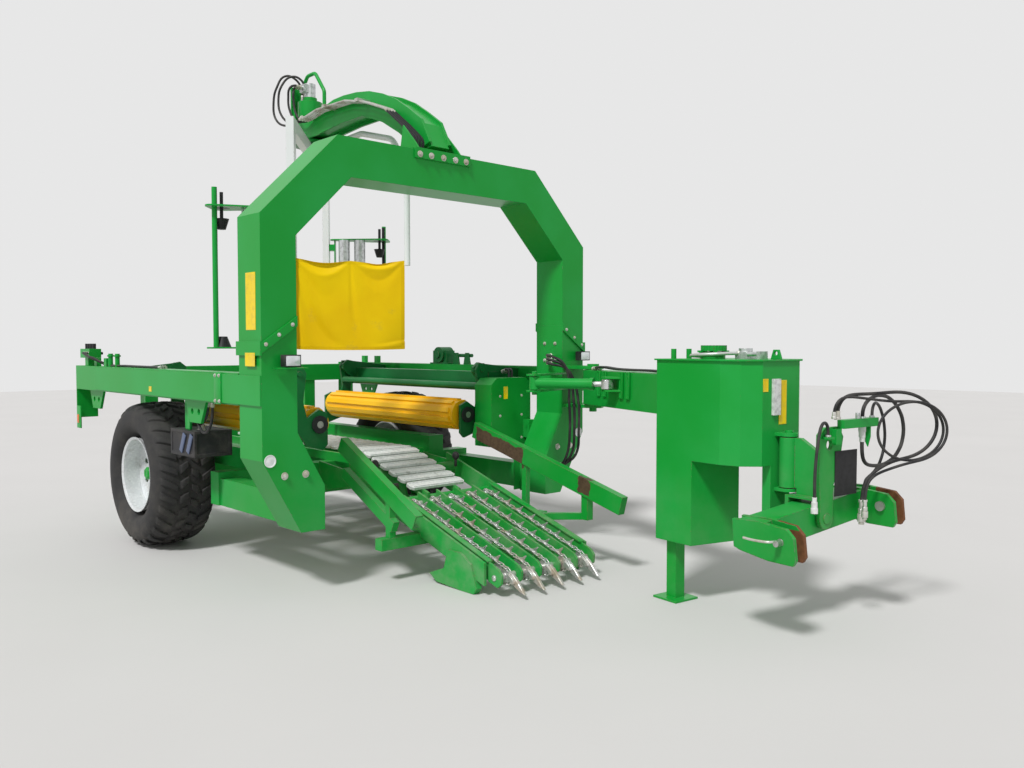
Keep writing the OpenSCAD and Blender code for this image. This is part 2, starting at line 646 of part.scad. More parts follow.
// Cover box at the left leg, gear unit, valves and lamps
cover_x = [-245, -40];
module cover_box() {
    color(GREEN) {
        cross_plate([[765, 790], [leg_in - 6, 790], [leg_in - 6, 1310], [leg_in - 60, 1355],
            [825, 1355], [765, 1300]], cover_x);
        block([cover_x[1], arch_x], [leg_in - 90, leg_in - 6], [850, 1000]);
    }
}
module lift_gear() {
    mid = beam_out - beam_w / 2;
    color(DARK_GREEN) {
        // gearbox with its cover, on a foot plate
        block([-1580, -1310], [mid - 65, mid + 65], [beam_top, beam_top + 14]);
        block([-1550, -1340], [mid - 50, mid + 50], [beam_top + 14, beam_top + 130]);
        rod_y(150, -1445, [mid - 70, mid + 70], beam_top + 90);
        rod_y(60, -1445, [mid - 84, mid + 84], beam_top + 90);
        for (x = [-1250, -1090])
            side_plate([[x - 45, beam_top], [x - 20, beam_top + 110], [x + 20, beam_top + 110],
                [x + 45, beam_top]], [mid - 10, mid + 10]);
        rod_x(34, [-1290, -1050], mid + 27, beam_top + 84);
    }
}
module valve_bank() {
    mid = -beam_out + beam_w / 2;
    color(GREEN) {
        block([-3040, -2960], [mid - 35, mid + 30], [beam_top, beam_top + 70]);
        block([-3120, -2880], [mid - 50, mid + 50], [beam_top + 70, beam_top + 150]);
        for (x = [-2500, -2340]) {
            rod_z(38, x, mid, [beam_top, beam_top + 110]);
            rod_z(54, x, mid, [beam_top + 84, beam_top + 98]);
        }
    }
    color(BLACK) for (x = [-3090 : 60 : -2910]) {
        rod_z(34, x, mid, [beam_top + 150, beam_top + 196]);
        rod_y(24, x, [mid + 50, mid + 72], beam_top + 110);
    }
}
module work_lamps() {
    color(BLACK) {
        block([arch_x1 + 20, arch_x1 + 80], [-half_w + 120, -half_w + 230], [1490, 1565]);
        block([arch_x1, arch_x1 + 20], [-half_w + 155, -half_w + 195], [1500, 1550]);
        block([arch_x1 + 20, arch_x1 + 80], [half_w - 110, half_w], [1500, 1575]);
        block([arch_x1, arch_x1 + 20], [half_w - 75, half_w - 35], [1510, 1560]);
    }
}
module black_box() {
    color(BLACK) block([-1180, -760], [-beam_out + 40, -foot_out + 60], [820, 1010]);
    color(GREEN) block([-1010, -930], [-beam_out + 80, -beam_out + 100], [1010, beam_z]);
}

// Ramp: everything that tilts about the ramp pivot
function ramp_at(x) = bed_top - (x - bed_x[1]) * tan(ramp_slope);
rail_x = [120, 1100];
rail_h = 95;
nose_x = 1180;
nose_z = 150;
nose_r = 95;
module slope_plate(x, up, down, y) {
    side_plate([[x[0], ramp_at(x[0]) + up], [x[1], ramp_at(x[1]) + up],
        [x[1], ramp_at(x[1]) + down], [x[0], ramp_at(x[0]) + down]], y);
}
pivot_d = 60;
ramp_half = 2.5 * chain_pitch + 40;
side_t = 20;
front_face = front_cross_x + 130;
hinge_t = 16;
module ramp_hinge() {
    color(GREEN) {
        for (s = [-1, 1]) {
            y = ramp_y + s * (ramp_half + side_t / 2 + 6 + hinge_t / 2);
            side_plate([[front_face, ramp_pz - 140], [front_face, ramp_pz + 100],
                [ramp_px, ramp_pz + 55], [ramp_px + 45, ramp_pz + 20], [ramp_px + 45, ramp_pz - 30],
                [ramp_px, ramp_pz - 60]], [y - hinge_t / 2, y + hinge_t / 2]);
        }
        rod_y(pivot_d, ramp_px, [ramp_y - ramp_half - side_t - 16, ramp_y + ramp_half + side_t + 16],
            ramp_pz);
        // lugs and pin at the foot of the ramp ram
        for (s = [-1, 1])
            side_plate([[front_face, ram_base[1] - 55], [front_face, ram_base[1] + 75],
                [ram_base[0] + 20, ram_base[1] + 30], [ram_base[0] + 30, ram_base[1]],
                [ram_base[0] + 10, ram_base[1] - 30]],
                [ramp_y + s * 50 - 8, ramp_y + s * 50 + 8]);
        rod_y(ram_pin, ram_base[0], [ramp_y - 60, ramp_y + 60], ram_base[1]);
    }
}
cross_x = [360, 440];
cross_z = [230, 310];
cross_y = [-650, 930];
// foot and eye of the ramp ram, as X and Z
ram_base = [-820, 500];
ram_eye = [-330, 400];
ram_pin = 32;
nose_cross_x = [760, 840];
nose_cross_z = [110, 170];
// Posts from a cross member up to the underside of the rails
module saddle(x, z) {
    for (i = [-2.5 : 1 : 2.5])
        side_plate([[x[0], z], [x[0], ramp_at(x[0]) - rail_h], [x[1], ramp_at(x[1]) - rail_h], [x[1], z]],
            [ramp_y + i * chain_pitch - 18, ramp_y + i * chain_pitch + 18]);
}
module ramp_frame() {
    color(GREEN) difference() {
        union() {
            for (s = [-1, 1]) {
                y = ramp_y + s * ramp_half;
                slope_plate([ramp_px - 60, nose_x - 60], 0, -150, [y - side_t / 2, y + side_t / 2]);
                // skid shoe under the nose
                side_plate([[560, 60], [640, 12], [900, 0], [1030, 0], [1060, 40], [1000, 190],
                    [900, 250], [760, 250], [720, 120]], [y - 25, y + 25]);
            }
            rod_y(110, ramp_px, [ramp_y - ramp_half - side_t / 2, ramp_y + ramp_half + side_t / 2],
                ramp_pz);
            block(cross_x, cross_y, cross_z);
            saddle(cross_x, cross_z[1]);
            block(nose_cross_x, [ramp_y - ramp_half, ramp_y + ramp_half], nose_cross_z);
            saddle(nose_cross_x, nose_cross_z[1]);
            // runners under the slats
            for (s = [-1, 1])
                slope_plate([bed_x[1] + 14, rail_x[0] - 20], -slat_t / cos(ramp_slope), -90,
                    [ramp_y + s * 150 - 12, ramp_y + s * 150 + 12]);
            rod_y(60, rail_x[0] - 60, [ramp_y - ramp_half, ramp_y + ramp_half], ramp_at(rail_x[0] - 60) - 90);
            for (s = [-1, 1])
                side_plate([[ramp_px - 40, ramp_pz - 20], [ramp_px + 50, ramp_pz - 20],
                    [ram_eye[0] + 35, ram_eye[1]], [ram_eye[0] + 15, ram_eye[1] - 35],
                    [ram_eye[0] - 30, ram_eye[1] - 20]], [ramp_y + s * 50 - 8, ramp_y + s * 50 + 8]);
        }
        rod_y(pivot_d + 2 * fit, ramp_px, [ramp_y - ramp_half - side_t, ramp_y + ramp_half + side_t],
            ramp_pz);
    }
    color(GREEN) rod_y(ram_pin, ram_eye[0], [ramp_y - 50, ramp_y + 50], ram_eye[1]);
}
// the chains' strand, shafts and sprockets
strand_drop = 22;
link_h = 30;
link_pitch = 74;
chain_shaft = 40;
slope_dir = [cos(ramp_slope), -sin(ramp_slope)];
slope_down = [-sin(ramp_slope), -cos(ramp_slope)];
function strand_at(x) = [x, ramp_at(x) - strand_drop];
head_r = 38;
nose_turn = 53;
head_shaft = strand_at(rail_x[0] + 60) + head_r * slope_down;
nose_shaft = strand_at(nose_x + 6) + nose_turn * slope_down;
module ramp_rails() {
    color(GREEN) difference() {
        for (i = [-2.5 : 1 : 2.5]) {
            y = ramp_y + i * chain_pitch;
            side_plate([[rail_x[0], ramp_at(rail_x[0])], [nose_x - 40, ramp_at(nose_x - 40)],
                [nose_x + 30, ramp_at(nose_x + 30) - 4], [nose_x + 62, nose_z], [nose_x + 58, nose_z - 55],
                [nose_x + 20, nose_z - 85], [nose_x - 60, nose_z - 60],
                [rail_x[1] - 60, ramp_at(rail_x[1] - 60) - rail_h],
                [rail_x[0], ramp_at(rail_x[0]) - rail_h]], [y - 8, y + 8]);
        }
        for (p = [head_shaft, nose_shaft])
            rod_y(chain_shaft + 2 * fit, p[0], [ramp_y - ramp_half, ramp_y + ramp_half], p[1]);
    }
    // flanged top of the outer rails
    color(GREEN) for (s = [-1, 1]) {
        y = ramp_y + s * 2.5 * chain_pitch;
        slope_plate([rail_x[0] + 40, nose_x - 60], 10, 0, [y - 22, y + 22]);
    }
}
// Pick-up chains: flat links on two shafts, with hooked tines on the strand
link_shape = [[-link_pitch / 2 - 13, 0], [-link_pitch / 2, link_h / 2], [link_pitch / 2, link_h / 2],
    [link_pitch / 2 + 13, 0], [link_pitch / 2, -link_h / 2], [-link_pitch / 2, -link_h / 2]];
tine_shape = [[-26, link_h / 2 - 4], [4, link_h / 2 + 16], [30, link_h / 2 + 44], [26, link_h / 2 - 4]];
// pointed tooth in front of each chain's turn
nose_tooth = [[20, 30], [72, 28], [196, -88], [112, -62], [30, -20]];
module link(k) {
    for (y = k % 2 == 0 ? [[-7, 7]] : [[-14, -6], [6, 14]])
        side_plate(link_shape, y);
    if (k % 2 == 0) side_plate(tine_shape, [-6, 6]);
}
module pickup_chains() {
    count = floor((nose_x - rail_x[0] - 60) / link_pitch / cos(ramp_slope));
    step = 2 * asin(link_pitch / 2 / nose_turn);
    color(SILVER) for (p = [head_shaft, nose_shaft])
        rod_y(chain_shaft, p[0], [ramp_y - 2.5 * chain_pitch - 14, ramp_y + 2.5 * chain_pitch + 14], p[1]);
    color(SILVER) for (i = [-2 : 2]) {
        y = ramp_y + i * chain_pitch;
        // the strand on the slope
        for (k = [0 : count - 1]) {
            p = strand_at(nose_x + 6) - (k + 0.5) * link_pitch * slope_dir;
            translate([p[0], y, p[1]]) rotate([0, ramp_slope, 0]) link(k + 1);
        }
        // round the nose
        for (k = [0, 1])
            translate([nose_shaft[0], y, nose_shaft[1]]) rotate([0, ramp_slope + (k + 0.5) * step, 0])
                translate([0, 0, nose_turn * cos(step / 2)]) link(k);
        rod_y(2 * nose_turn - 24, nose_shaft[0], [y - 5, y + 5], nose_shaft[1]);
        rod_y(2 * head_r - 14, head_shaft[0], [y - 5, y + 5], head_shaft[1]);
        translate([nose_shaft[0], 0, nose_shaft[1]]) side_plate(nose_tooth, [y - 9, y + 9]);
        // lower strand on its way back
        a = head_shaft + (head_r - 4) * slope_down;
        b = nose_shaft + (nose_turn - 6) * slope_down;
        side_plate([a - 12 * slope_down, a + 12 * slope_down, b + 12 * slope_down, b - 12 * slope_down],
            [y - 4, y + 4]);
    }
}
module ramp_slats() {
    color(SILVER) for (i = [0 : 5]) {
        x = bed_x[1] + 60 + i * slat_pitch * cos(ramp_slope);
        translate([x, ramp_y, ramp_at(x)]) rotate([0, ramp_slope, 0])
            translate([0, 0, -slat_t]) slat();
    }
}
guide_y = [-560, 720];
module ramp_guides() {
    color(GREEN) {
        // right guide: channel with a second rail below it, on the cross tube's end
        y = guide_y[0];
        difference() {
            bar([-180, y, 905], [720, y, 455], 60, 110);
            bar([-240, y + 10, 935], [780, y + 10, 425], 60, 86);
        }
        bar([-150, y, 700], [470, y, 390], 50, 80);
        block([390, 440], [y - 25, y + 25], [cross_z[1], 580]);
        // left guide bar and its brace
        bar([-180, guide_y[1], 930], [1400, guide_y[1], 500], 60, 130);
        block([560, 620], [ramp_y + ramp_half + side_t / 2, guide_y[1]], [290, 345]);
        bar([590, guide_y[1] - 25, 320], [1048, guide_y[1] + 20, 380], 50, 50);
        block([1020, 1080], [guide_y[1] - 20, guide_y[1] + 40], [355, 540]);
        block([390, 440], [guide_y[1] - 20, guide_y[1] + 20], [cross_z[1], 740]);
    }
}

// A hydraulic ram between two pins: barrel with its bore, and rod with its eye
module along(p, q) {
    d = q - p;
    translate(p) rotate([0, -atan2(d[2], norm([d[0], d[1]])), atan2(d[1], d[0])]) children();
}
module ram_barrel(bore, barrel_d, rod_d, hole, length, eye_w, turn) {
    difference() {
        union() {
            rotate([turn, 0, 0]) cylinder(d = barrel_d, h = eye_w, center = true);
            rod_x(barrel_d, [20, length], 0, 0);
            rod_x(barrel_d + 12, [length - 30, length], 0, 0);
        }
        rotate([turn, 0, 0]) cylinder(d = hole + 2 * fit, h = eye_w + 60, center = true);
        rod_x(rod_d + 2 * fit, [bore, length + 1], 0, 0);
    }
}
module ram_rod(tip, rod_d, eye_d, hole, eye, eye_w, turn) {
    difference() {
        union() {
            rod_x(rod_d, [tip, eye - hole / 2], 0, 0);
            translate([eye, 0, 0]) rotate([turn, 0, 0]) cylinder(d = eye_d, h = eye_w, center = true);
        }
        translate([eye, 0, 0]) rotate([turn, 0, 0]) cylinder(d = hole, h = eye_w + 60, center = true);
    }
}
ramp_ram_a = [ram_base[0], ramp_y, ram_base[1]];
ramp_ram_b = [ram_eye[0], ramp_y, ram_eye[1]];
ramp_ram_len = norm(ramp_ram_b - ramp_ram_a);
module ramp_ram_barrel() {
    color(GREEN) along(ramp_ram_a, ramp_ram_b) ram_barrel(200, 76, 36, ram_pin, 400, 68, 90);
}
module ramp_ram_rod() {
    color(SILVER) along(ramp_ram_a, ramp_ram_b)
        ram_rod(260, 36, 76, ram_pin + 12, ramp_ram_len, 60, 90);
}

// Drawbar: swings about the vertical pin at the left leg
function tower_pt(p) = [tower_x + p[0] * cos(tower_yaw) - p[1] * sin(tower_yaw),
    tower_y + p[0] * sin(tower_yaw) + p[1] * cos(tower_yaw)];
module at_tower() {
    translate([tower_x, tower_y, 0]) rotate([0, 0, tower_yaw]) children();
}
swing_pin_d = 60;
lug_t = 26;
steer_z = bar_z + 185;
steer_pin = 40;
steer_base = [500, 730];
steer_slack = 13;
beam_end = tower_pt([-tower_len / 2, 40]);
beam_dir = unit(beam_end - [swing_px, swing_py]);
beam_right = [beam_dir[1], -beam_dir[0]];
steer_lug = [swing_px, swing_py] + 560 * beam_dir + (bar_w / 2 + 70) * beam_right;
module flat_plate(points, z) {
    translate([0, 0, z[0]]) linear_extrude(z[1] - z[0]) polygon(points);
}
module swing_bracket() {
    color(GREEN) {
        for (z = [bar_z - 3 - lug_t, bar_z + bar_h + 3])
            flat_plate([[arch_x1, swing_py - 110], [swing_px - 20, swing_py - 90],
                [swing_px + 60, swing_py - 60], [swing_px + 90, swing_py],
                [swing_px + 60, swing_py + 60], [swing_px - 20, swing_py + 90],
                [arch_x1, swing_py + 110]], [z, z + lug_t]);
        rod_z(swing_pin_d, swing_px, swing_py, [bar_z - 60, bar_z + bar_h + 45]);
        rod_z(swing_pin_d + 36, swing_px, swing_py, [bar_z + bar_h + 3 + lug_t, bar_z + bar_h + 45]);
        // plates that carry the foot of the steering ram
        for (z = [steer_z - 70, steer_z + 55])
            flat_plate([[arch_x1, leg_in], [arch_x1, leg_in + 110],
                [steer_base[0] + 45, steer_base[1] + 20], [steer_base[0] + 45, steer_base[1] - 45],
                [steer_base[0] - 45, steer_base[1] - 45], [steer_base[0] - 45, steer_base[1] + 40]],
                [z, z + 15]);
        rod_z(steer_pin, steer_base[0], steer_base[1], [steer_z - 90, steer_z + 90]);
    }
}
// How far the boss at the pin stands above and below the beam
boss_lip = 4;
module drawbar() {
    color(GREEN) difference() {
        union() {
            rod_z(150, swing_px, swing_py, [bar_z, bar_z + bar_h]);
            bar([swing_px + 22 * beam_dir[0], swing_py + 22 * beam_dir[1], bar_z + bar_h / 2],
                [beam_end[0] + 60 * beam_dir[0], beam_end[1] + 60 * beam_dir[1], bar_z + bar_h / 2],
                bar_w, bar_h - 2 * boss_lip);
            // ears for the rod of the steering ram
            for (z = [steer_z - 55, steer_z + 40])
                flat_plate([steer_lug - 110 * beam_dir - 80 * beam_right,
                    steer_lug - 30 * beam_dir + 35 * beam_right,
                    steer_lug + 30 * beam_dir + 35 * beam_right,
                    steer_lug + 110 * beam_dir - 80 * beam_right], [z, z + 15]);
            rod_z(30, steer_lug[0], steer_lug[1], [steer_z - 55, steer_z + 55]);
        }
        rod_z(swing_pin_d + 2 * fit, swing_px, swing_py, [bar_z - 1, bar_z + bar_h + 1]);
        // cut flush with the rear of the tower
        at_tower() block([-tower_len / 2, 0], [-400, 400], [bar_z - 1, bar_z + bar_h + 1]);
    }
}
steer_a = [steer_base[0], steer_base[1], steer_z];
steer_b = [steer_lug[0], steer_lug[1], steer_z];
steer_len = norm(steer_b - steer_a);
module steer_ram_barrel() {
    color(GREEN) along(steer_a, steer_b) ram_barrel(92, 80, 40, steer_pin, 476, 100, 0);
}
module steer_ram_rod() {
    color(SILVER) along(steer_a, steer_b)
        ram_rod(steer_len - 440, 40, 94, 30 + 2 * steer_slack, steer_len, 70, 0);
}

// Tank tower at the drawbar's end, with the kingpin lugs on its front
tower_plan = [[-tower_len / 2, -tower_w / 2], [tower_len / 2 - 200, -tower_w / 2],
    [tower_len / 2 - 80, -tower_w / 2 + 40], [tower_len / 2, -tower_w / 2 + 140],
    [tower_len / 2, tower_w / 2 - 140], [tower_len / 2 - 100, tower_w / 2],
    [-tower_len / 2, tower_w / 2]];
column_len = 300;
tower_face = tower_len / 2;
kingpin_x = tower_face + 60;
kingpin_d = 50;
king_z = [790, 1085];
king_lug = 20;
module tank_tower() {
    color(GREEN) at_tower() {
        translate([0, 0, tank_bottom]) linear_extrude(tower_top - tank_bottom) polygon(tower_plan);
        translate([0, 0, column_bottom]) linear_extrude(tank_bottom - column_bottom)
            polygon([[-tower_len / 2, -tower_w / 2], [-tower_len / 2 + column_len, -tower_w / 2],
                [-tower_len / 2 + column_len + 60, 60], [-tower_len / 2, 60]]);
        // front post and kingpin lugs
        block([tower_face - 60, tower_face], [-90, 90], [king_z[0] - 230, tank_bottom]);
        for (z = [king_z[0] - 5 - king_lug, king_z[1] + 5]) {
            block([tower_face, kingpin_x], [-55, 55], [z, z + king_lug]);
            rod_z(110, kingpin_x, 0, [z, z + king_lug]);
        }
        rod_z(kingpin_d, kingpin_x, 0, [king_z[0] - 28, king_z[1] + 40]);
    }
}
lid_t = 10;
module tower_lid() {
    lid = 12;
    color(GREEN) at_tower() translate([0, 0, tower_top]) linear_extrude(lid_t)
        polygon([for (p = tower_plan) [p[0] + sign(p[0]) * lid, p[1] + sign(p[1]) * lid]]);
}
cap_d = 150;
gauge_z = [1213, 1427];
module tank_fittings() {
    lid_top = tower_top + lid_t;
    color(GREEN) at_tower() {
        // filler neck and cap
        rod_z(cap_d, -80, -100, [lid_top, lid_top + 46]);
        rod_z(cap_d + 24, -80, -100, [lid_top + 28, lid_top + 40]);
        for (a = [20 : 60 : 320])
            translate([-80, -100, 0]) rotate([0, 0, a])
                block([cap_d / 2 - 2, cap_d / 2 + 26], [-9, 9], [lid_top + 40, lid_top + 52]);
        // lifting eye
        difference() {
            side_plate([[262, lid_top], [282, lid_top + 58], [318, lid_top + 58], [338, lid_top]], [22, 38]);
            rod_y(26, 300, [20, 40], lid_top + 36);
        }
        // posts of the hose guides at the rear
        for (y = [-200, -60, 90])
            rod_z(34, -tower_len / 2 + 40, y, [lid_top, lid_top + 62]);
    }
    color(SILVER) at_tower() {
        // return filter with its pipes
        block([60, 150], [-60, 30], [lid_top, lid_top + 44]);
        rod_z(84, 105, -15, [lid_top + 44, lid_top + 66]);
        for (y = [-48, -4])
            rod_x(24, [150, 226], y, lid_top + 30);
        block([226, 250], [-64, 12], [lid_top, lid_top + 48]);
        // level gauge on the front
        block([tower_face + fit, tower_face + 18], [-88, -24], gauge_z);
    }
}
stand_w = 80;
module parking_stand() {
    color(GREEN) at_tower() {
        block([-330, -330 + stand_w], [-240, -240 + stand_w], [12, column_bottom]);
        block([-390, -190], [-300, -100], [0, 12]);
    }
}

// Headstock on the kingpin, and the cross tube that rocks in it
tube_h = 160;
tube_w = 170;
tube_x = kingpin_x + 140;
head_gap = 10;
head_t = 25;
head_half = 60;
rock_pin = 60;
module head_plate(x) {
    cross_plate([[-head_half, hitch_z], [-head_half, hitch_z + tube_h / 2 + 20],
        [head_half, hitch_z + tube_h / 2 + 20], [head_half, hitch_z]], [x, x + head_t]);
    rod_x(2 * head_half, [x, x + head_t], 0, hitch_z);
}
head_rear = tube_x - tube_w / 2 - head_gap - head_t;
head_front = tube_x + tube_w / 2 + head_gap;
bridge_z = [hitch_z + tube_h / 2 + 20, hitch_z + tube_h / 2 + 35];
riser_top = 1160;
bracket_z = [1150, 1200];
module headstock() {
    color(GREEN) at_tower() difference() {
        union() {
            rod_z(110, kingpin_x, 0, king_z);
            head_plate(head_rear);
            head_plate(head_front);
            block([head_rear, head_front + head_t], [-head_half, head_half], bridge_z);
            difference() {
                cross_plate([[-head_half, bridge_z[1]], [-head_half - 15, 900],
                    [-head_half - 10, riser_top - 40],
                    [-20, riser_top], [110, riser_top], [150, riser_top - 60], [120, 960],
                    [head_half, 820], [head_half, bridge_z[1]]], [head_front, head_front + head_t]);
                rod_x(58, [head_front - 1, head_front + head_t + 1], 20, 1060);
            }
            side_plate([[kingpin_x + 66, bridge_z[1]], [kingpin_x + 66, king_z[0] + 2],
                [kingpin_x + 40, king_z[0] + 2], [kingpin_x + 40, king_z[1]],
                [kingpin_x + 90, king_z[1]], [head_front, 1000], [head_front, bridge_z[1]]], [-15, 15]);
            rod_x(rock_pin, [head_rear - 6, head_front + head_t + 6], 0, hitch_z);
        }
        rod_z(kingpin_d + 2 * fit, kingpin_x, 0, [king_z[0] - 1, king_z[1] + 1]);
    }
}
// Hoses: a bracket on the riser with their glands, the hoses and their couplers
gland_h = 10;
module gland(route, d, up) {
    p = route[0];
    rod_z(d + 14, p[0], p[1], [p[2] - up, p[2]]);
}
module hose_bracket() {
    face = head_front + head_t;
    color(GREEN) at_tower() {
        block([face, face + 46], [90, 430], bracket_z);
        block([face, face + 30], [40, 90], [bracket_z[0] - 90, bracket_z[1] - 50]);
        side_plate([[face + 10, bracket_z[0]], [face + 42, bracket_z[0]], [face + 42, bracket_z[0] - 60],
            [face + 26, bracket_z[0] - 120], [face + 10, bracket_z[0] - 90]], [350, 358]);
        block([face, face + 40], [-50, 10], [1096, hose_3_route[0][2] - gland_h]);
    }
    // rubber flap beside the riser
    color(BLACK) at_tower() block([face, face + 5], [70, 280], [760, 1020]);
    color(SILVER) {
        gland(hose_1_route, hose_1_d, gland_h);
        gland(hose_2_route, hose_d, gland_h);
        gland(hose_3_route, hose_d, gland_h);
        at_tower() rod_z(26, face + 25, 250, [bracket_z[1], bracket_z[1] + 34]);
    }
}
module hose(route, d) {
    color(BLACK) swept(curve(route, 2), d, 10);
}
// A coupler on a hose's end, hanging down or standing up
coupler_l = 90;
module coupler(route, d, up) {
    p = route[len(route) - 1];
    color(SILVER) translate(p) rotate([up ? 0 : 180, 0, 0]) {
        cylinder(d = d + 8, h = 26);
        translate([0, 0, 26]) cylinder(d = d + 16, h = 34);
        translate([0, 0, 60]) cylinder(d = d + 22, h = coupler_l - 60);
    }
}

rock_rest = 6;
ear_t = 20;
module at_tube() {
    at_tower() translate([tube_x, 0, hitch_z]) rotate([rock_rest, 0, 0]) children();
}
pin_head = 18;
pin_free = 40;
pin_free_d = hitch_pin_d - 2;
module ear(y) {
    difference() {
        side_plate([[-120, -80], [-120, 80], [60, 90], [pin_fwd + 40, 75], [pin_fwd + 85, 30],
            [pin_fwd + 90, -90], [pin_fwd + 70, -120], [pin_fwd - 90, -120], [-70, -95]],
            [y - ear_t / 2, y + ear_t / 2]);
        rod_y(hitch_pin_d + 2 * fit, pin_fwd, [y - ear_t, y + ear_t], 0);
    }
}
module cross_tube() {
    color(GREEN) at_tube() {
        difference() {
            block([-tube_w / 2, tube_w / 2], [-fork_span / 2 - fork_gap / 2, fork_span / 2 + fork_gap / 2],
                [-tube_h / 2, tube_h / 2]);
            rod_x(rock_pin + 2 * fit, [-tube_w / 2 - 1, tube_w / 2 + 1], 0, 0);
        }
        for (s = [-1, 1]) for (e = [-1, 1])
            ear(s * fork_span / 2 + e * (fork_gap + ear_t) / 2);
    }
}
module hitch_pins() {
    // head on the inner ear, free end past the outer ear
    reach = fork_gap / 2 + ear_t;
    color(SILVER) at_tube() for (s = [-1, 1]) translate([0, s * fork_span / 2, 0]) mirrored(s) {
        rod_y(hitch_pin_d, pin_fwd, [-reach - 2, reach + 2], 0);
        rod_y(hitch_pin_d + 20, pin_fwd, [-reach - pin_head, -reach - seat], 0);
        rod_y(pin_free_d, pin_fwd, [reach + 2, reach + 2 + pin_free], 0);
    }
}

main_frame();
axle();
leg(-1);  // leg_right
leg(1);  // leg_left
arch();
side_beam(-1);  // side_beam_right
side_beam(1);  // side_beam_left
rear_frame();
boom();
boom_pipes();
slew_drive();
bale_bed();
bed_slats();
ramp_hinge();
roller_beam(1);  // roller_beam_left
roller_beam(-1);  // roller_beam_right
swing_bracket();
cover_box();
lift_gear();
valve_bank();
work_lamps();
black_box();
tyre(-1);  // tyre_right
rim(-1);  // rim_right
tyre(1);  // tyre_left
rim(1);  // rim_left
satellite_hub();
satellite_arms();
dispenser_front();
dispenser_rear();
safety_hoop();
wind_cloth();
roller_frame(1);  // roller_frame_left
roller(1);  // roller_left
roller_frame(-1);  // roller_frame_right
roller(-1);  // roller_right
ramp_frame();
ramp_rails();
pickup_chains();
ramp_slats();
ramp_guides();
ramp_ram_barrel();
ramp_ram_rod();
drawbar();
tank_tower();
tower_lid();
tank_fittings();
parking_stand();
steer_ram_barrel();
steer_ram_rod();
headstock();
cross_tube();
hitch_pins();
hose_bracket();
hose(hose_1_route, hose_1_d);  // hose_1
hose(hose_2_route, hose_d);  // hose_2
hose(hose_3_route, hose_d);  // hose_3
coupler(hose_1_route, hose_1_d, true);  // coupler_1
coupler(hose_2_route, hose_d, false);  // coupler_2
coupler(hose_3_route, hose_d, false);  // coupler_3
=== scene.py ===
import math

import bpy
from mathutils import Matrix, Vector


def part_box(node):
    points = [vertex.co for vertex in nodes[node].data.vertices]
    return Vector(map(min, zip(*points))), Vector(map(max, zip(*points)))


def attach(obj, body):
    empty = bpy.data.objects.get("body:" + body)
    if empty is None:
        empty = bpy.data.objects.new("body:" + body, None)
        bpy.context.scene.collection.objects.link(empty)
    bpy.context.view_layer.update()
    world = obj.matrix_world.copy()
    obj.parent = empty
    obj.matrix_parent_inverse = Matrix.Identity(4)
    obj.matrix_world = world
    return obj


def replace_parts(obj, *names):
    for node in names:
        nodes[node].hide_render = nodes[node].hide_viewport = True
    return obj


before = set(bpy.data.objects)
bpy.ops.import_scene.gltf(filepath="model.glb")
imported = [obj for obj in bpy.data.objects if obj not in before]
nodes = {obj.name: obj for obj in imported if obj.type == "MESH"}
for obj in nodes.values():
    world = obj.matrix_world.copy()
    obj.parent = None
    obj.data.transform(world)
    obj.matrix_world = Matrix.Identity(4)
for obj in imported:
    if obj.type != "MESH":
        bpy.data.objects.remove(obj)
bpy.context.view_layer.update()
print("frame loaded,", len(nodes), "nodes")

# the view of the photograph

view = {
    "place": (5.454, -4.11, 1.62),
    "along": (-0.7325, 0.6807),  # level direction of sight
    "tilt": -2.42,               # degrees below the horizon
    "lens": 31.64,
    "sensor": 36,
}


def setCamera():
    data = bpy.data.cameras.new("camera")
    data.lens = view["lens"]
    data.sensor_width = view["sensor"]
    camera = bpy.data.objects.new("camera", data)
    bpy.context.scene.collection.objects.link(camera)
    sight = Vector((*view["along"], math.tan(math.radians(view["tilt"]))))
    camera.location = view["place"]
    camera.rotation_euler = sight.to_track_quat("-Z", "Y").to_euler()
    bpy.context.scene.camera = camera


setCamera()
print("camera placed")

# places that several pieces are set from

machine = {
    "wheelX": -1.9,
    "wheelZ": 0.585,
    "wheelY": 1.21,
    "satelliteX": -1.55,
    "postRadius": 1.03,
    "armTurn": math.radians(-38.5),
    "towerAt": (2.28, 0.73, 0),
    "towerTurn": math.radians(-7),
}
tower = Matrix.Translation(machine["towerAt"]) @ Matrix.Rotation(machine["towerTurn"], 4, "Z")

# shader maths written as Python expressions


class Flow:
    def __init__(self, finish, socket):
        self.finish = finish
        self.socket = socket

    def maths(self, operation, *values):
        sockets = dict(enumerate(values))
        return self.finish.node("Math", {"operation": operation}, sockets)["Value"]

    def __add__(self, other):
        return self.maths("ADD", self, other)

    def __sub__(self, other):
        return self.maths("SUBTRACT", self, other)

    def __rsub__(self, other):
        return self.maths("SUBTRACT", other, self)

    def __mul__(self, other):
        return self.maths("MULTIPLY", self, other)

    def over(self, other):
        # 1 where this value is above the other
        return self.maths("GREATER_THAN", self, other)

    def under(self, other):
        return self.maths("LESS_THAN", self, other)

    __radd__ = __add__
    __rmul__ = __mul__


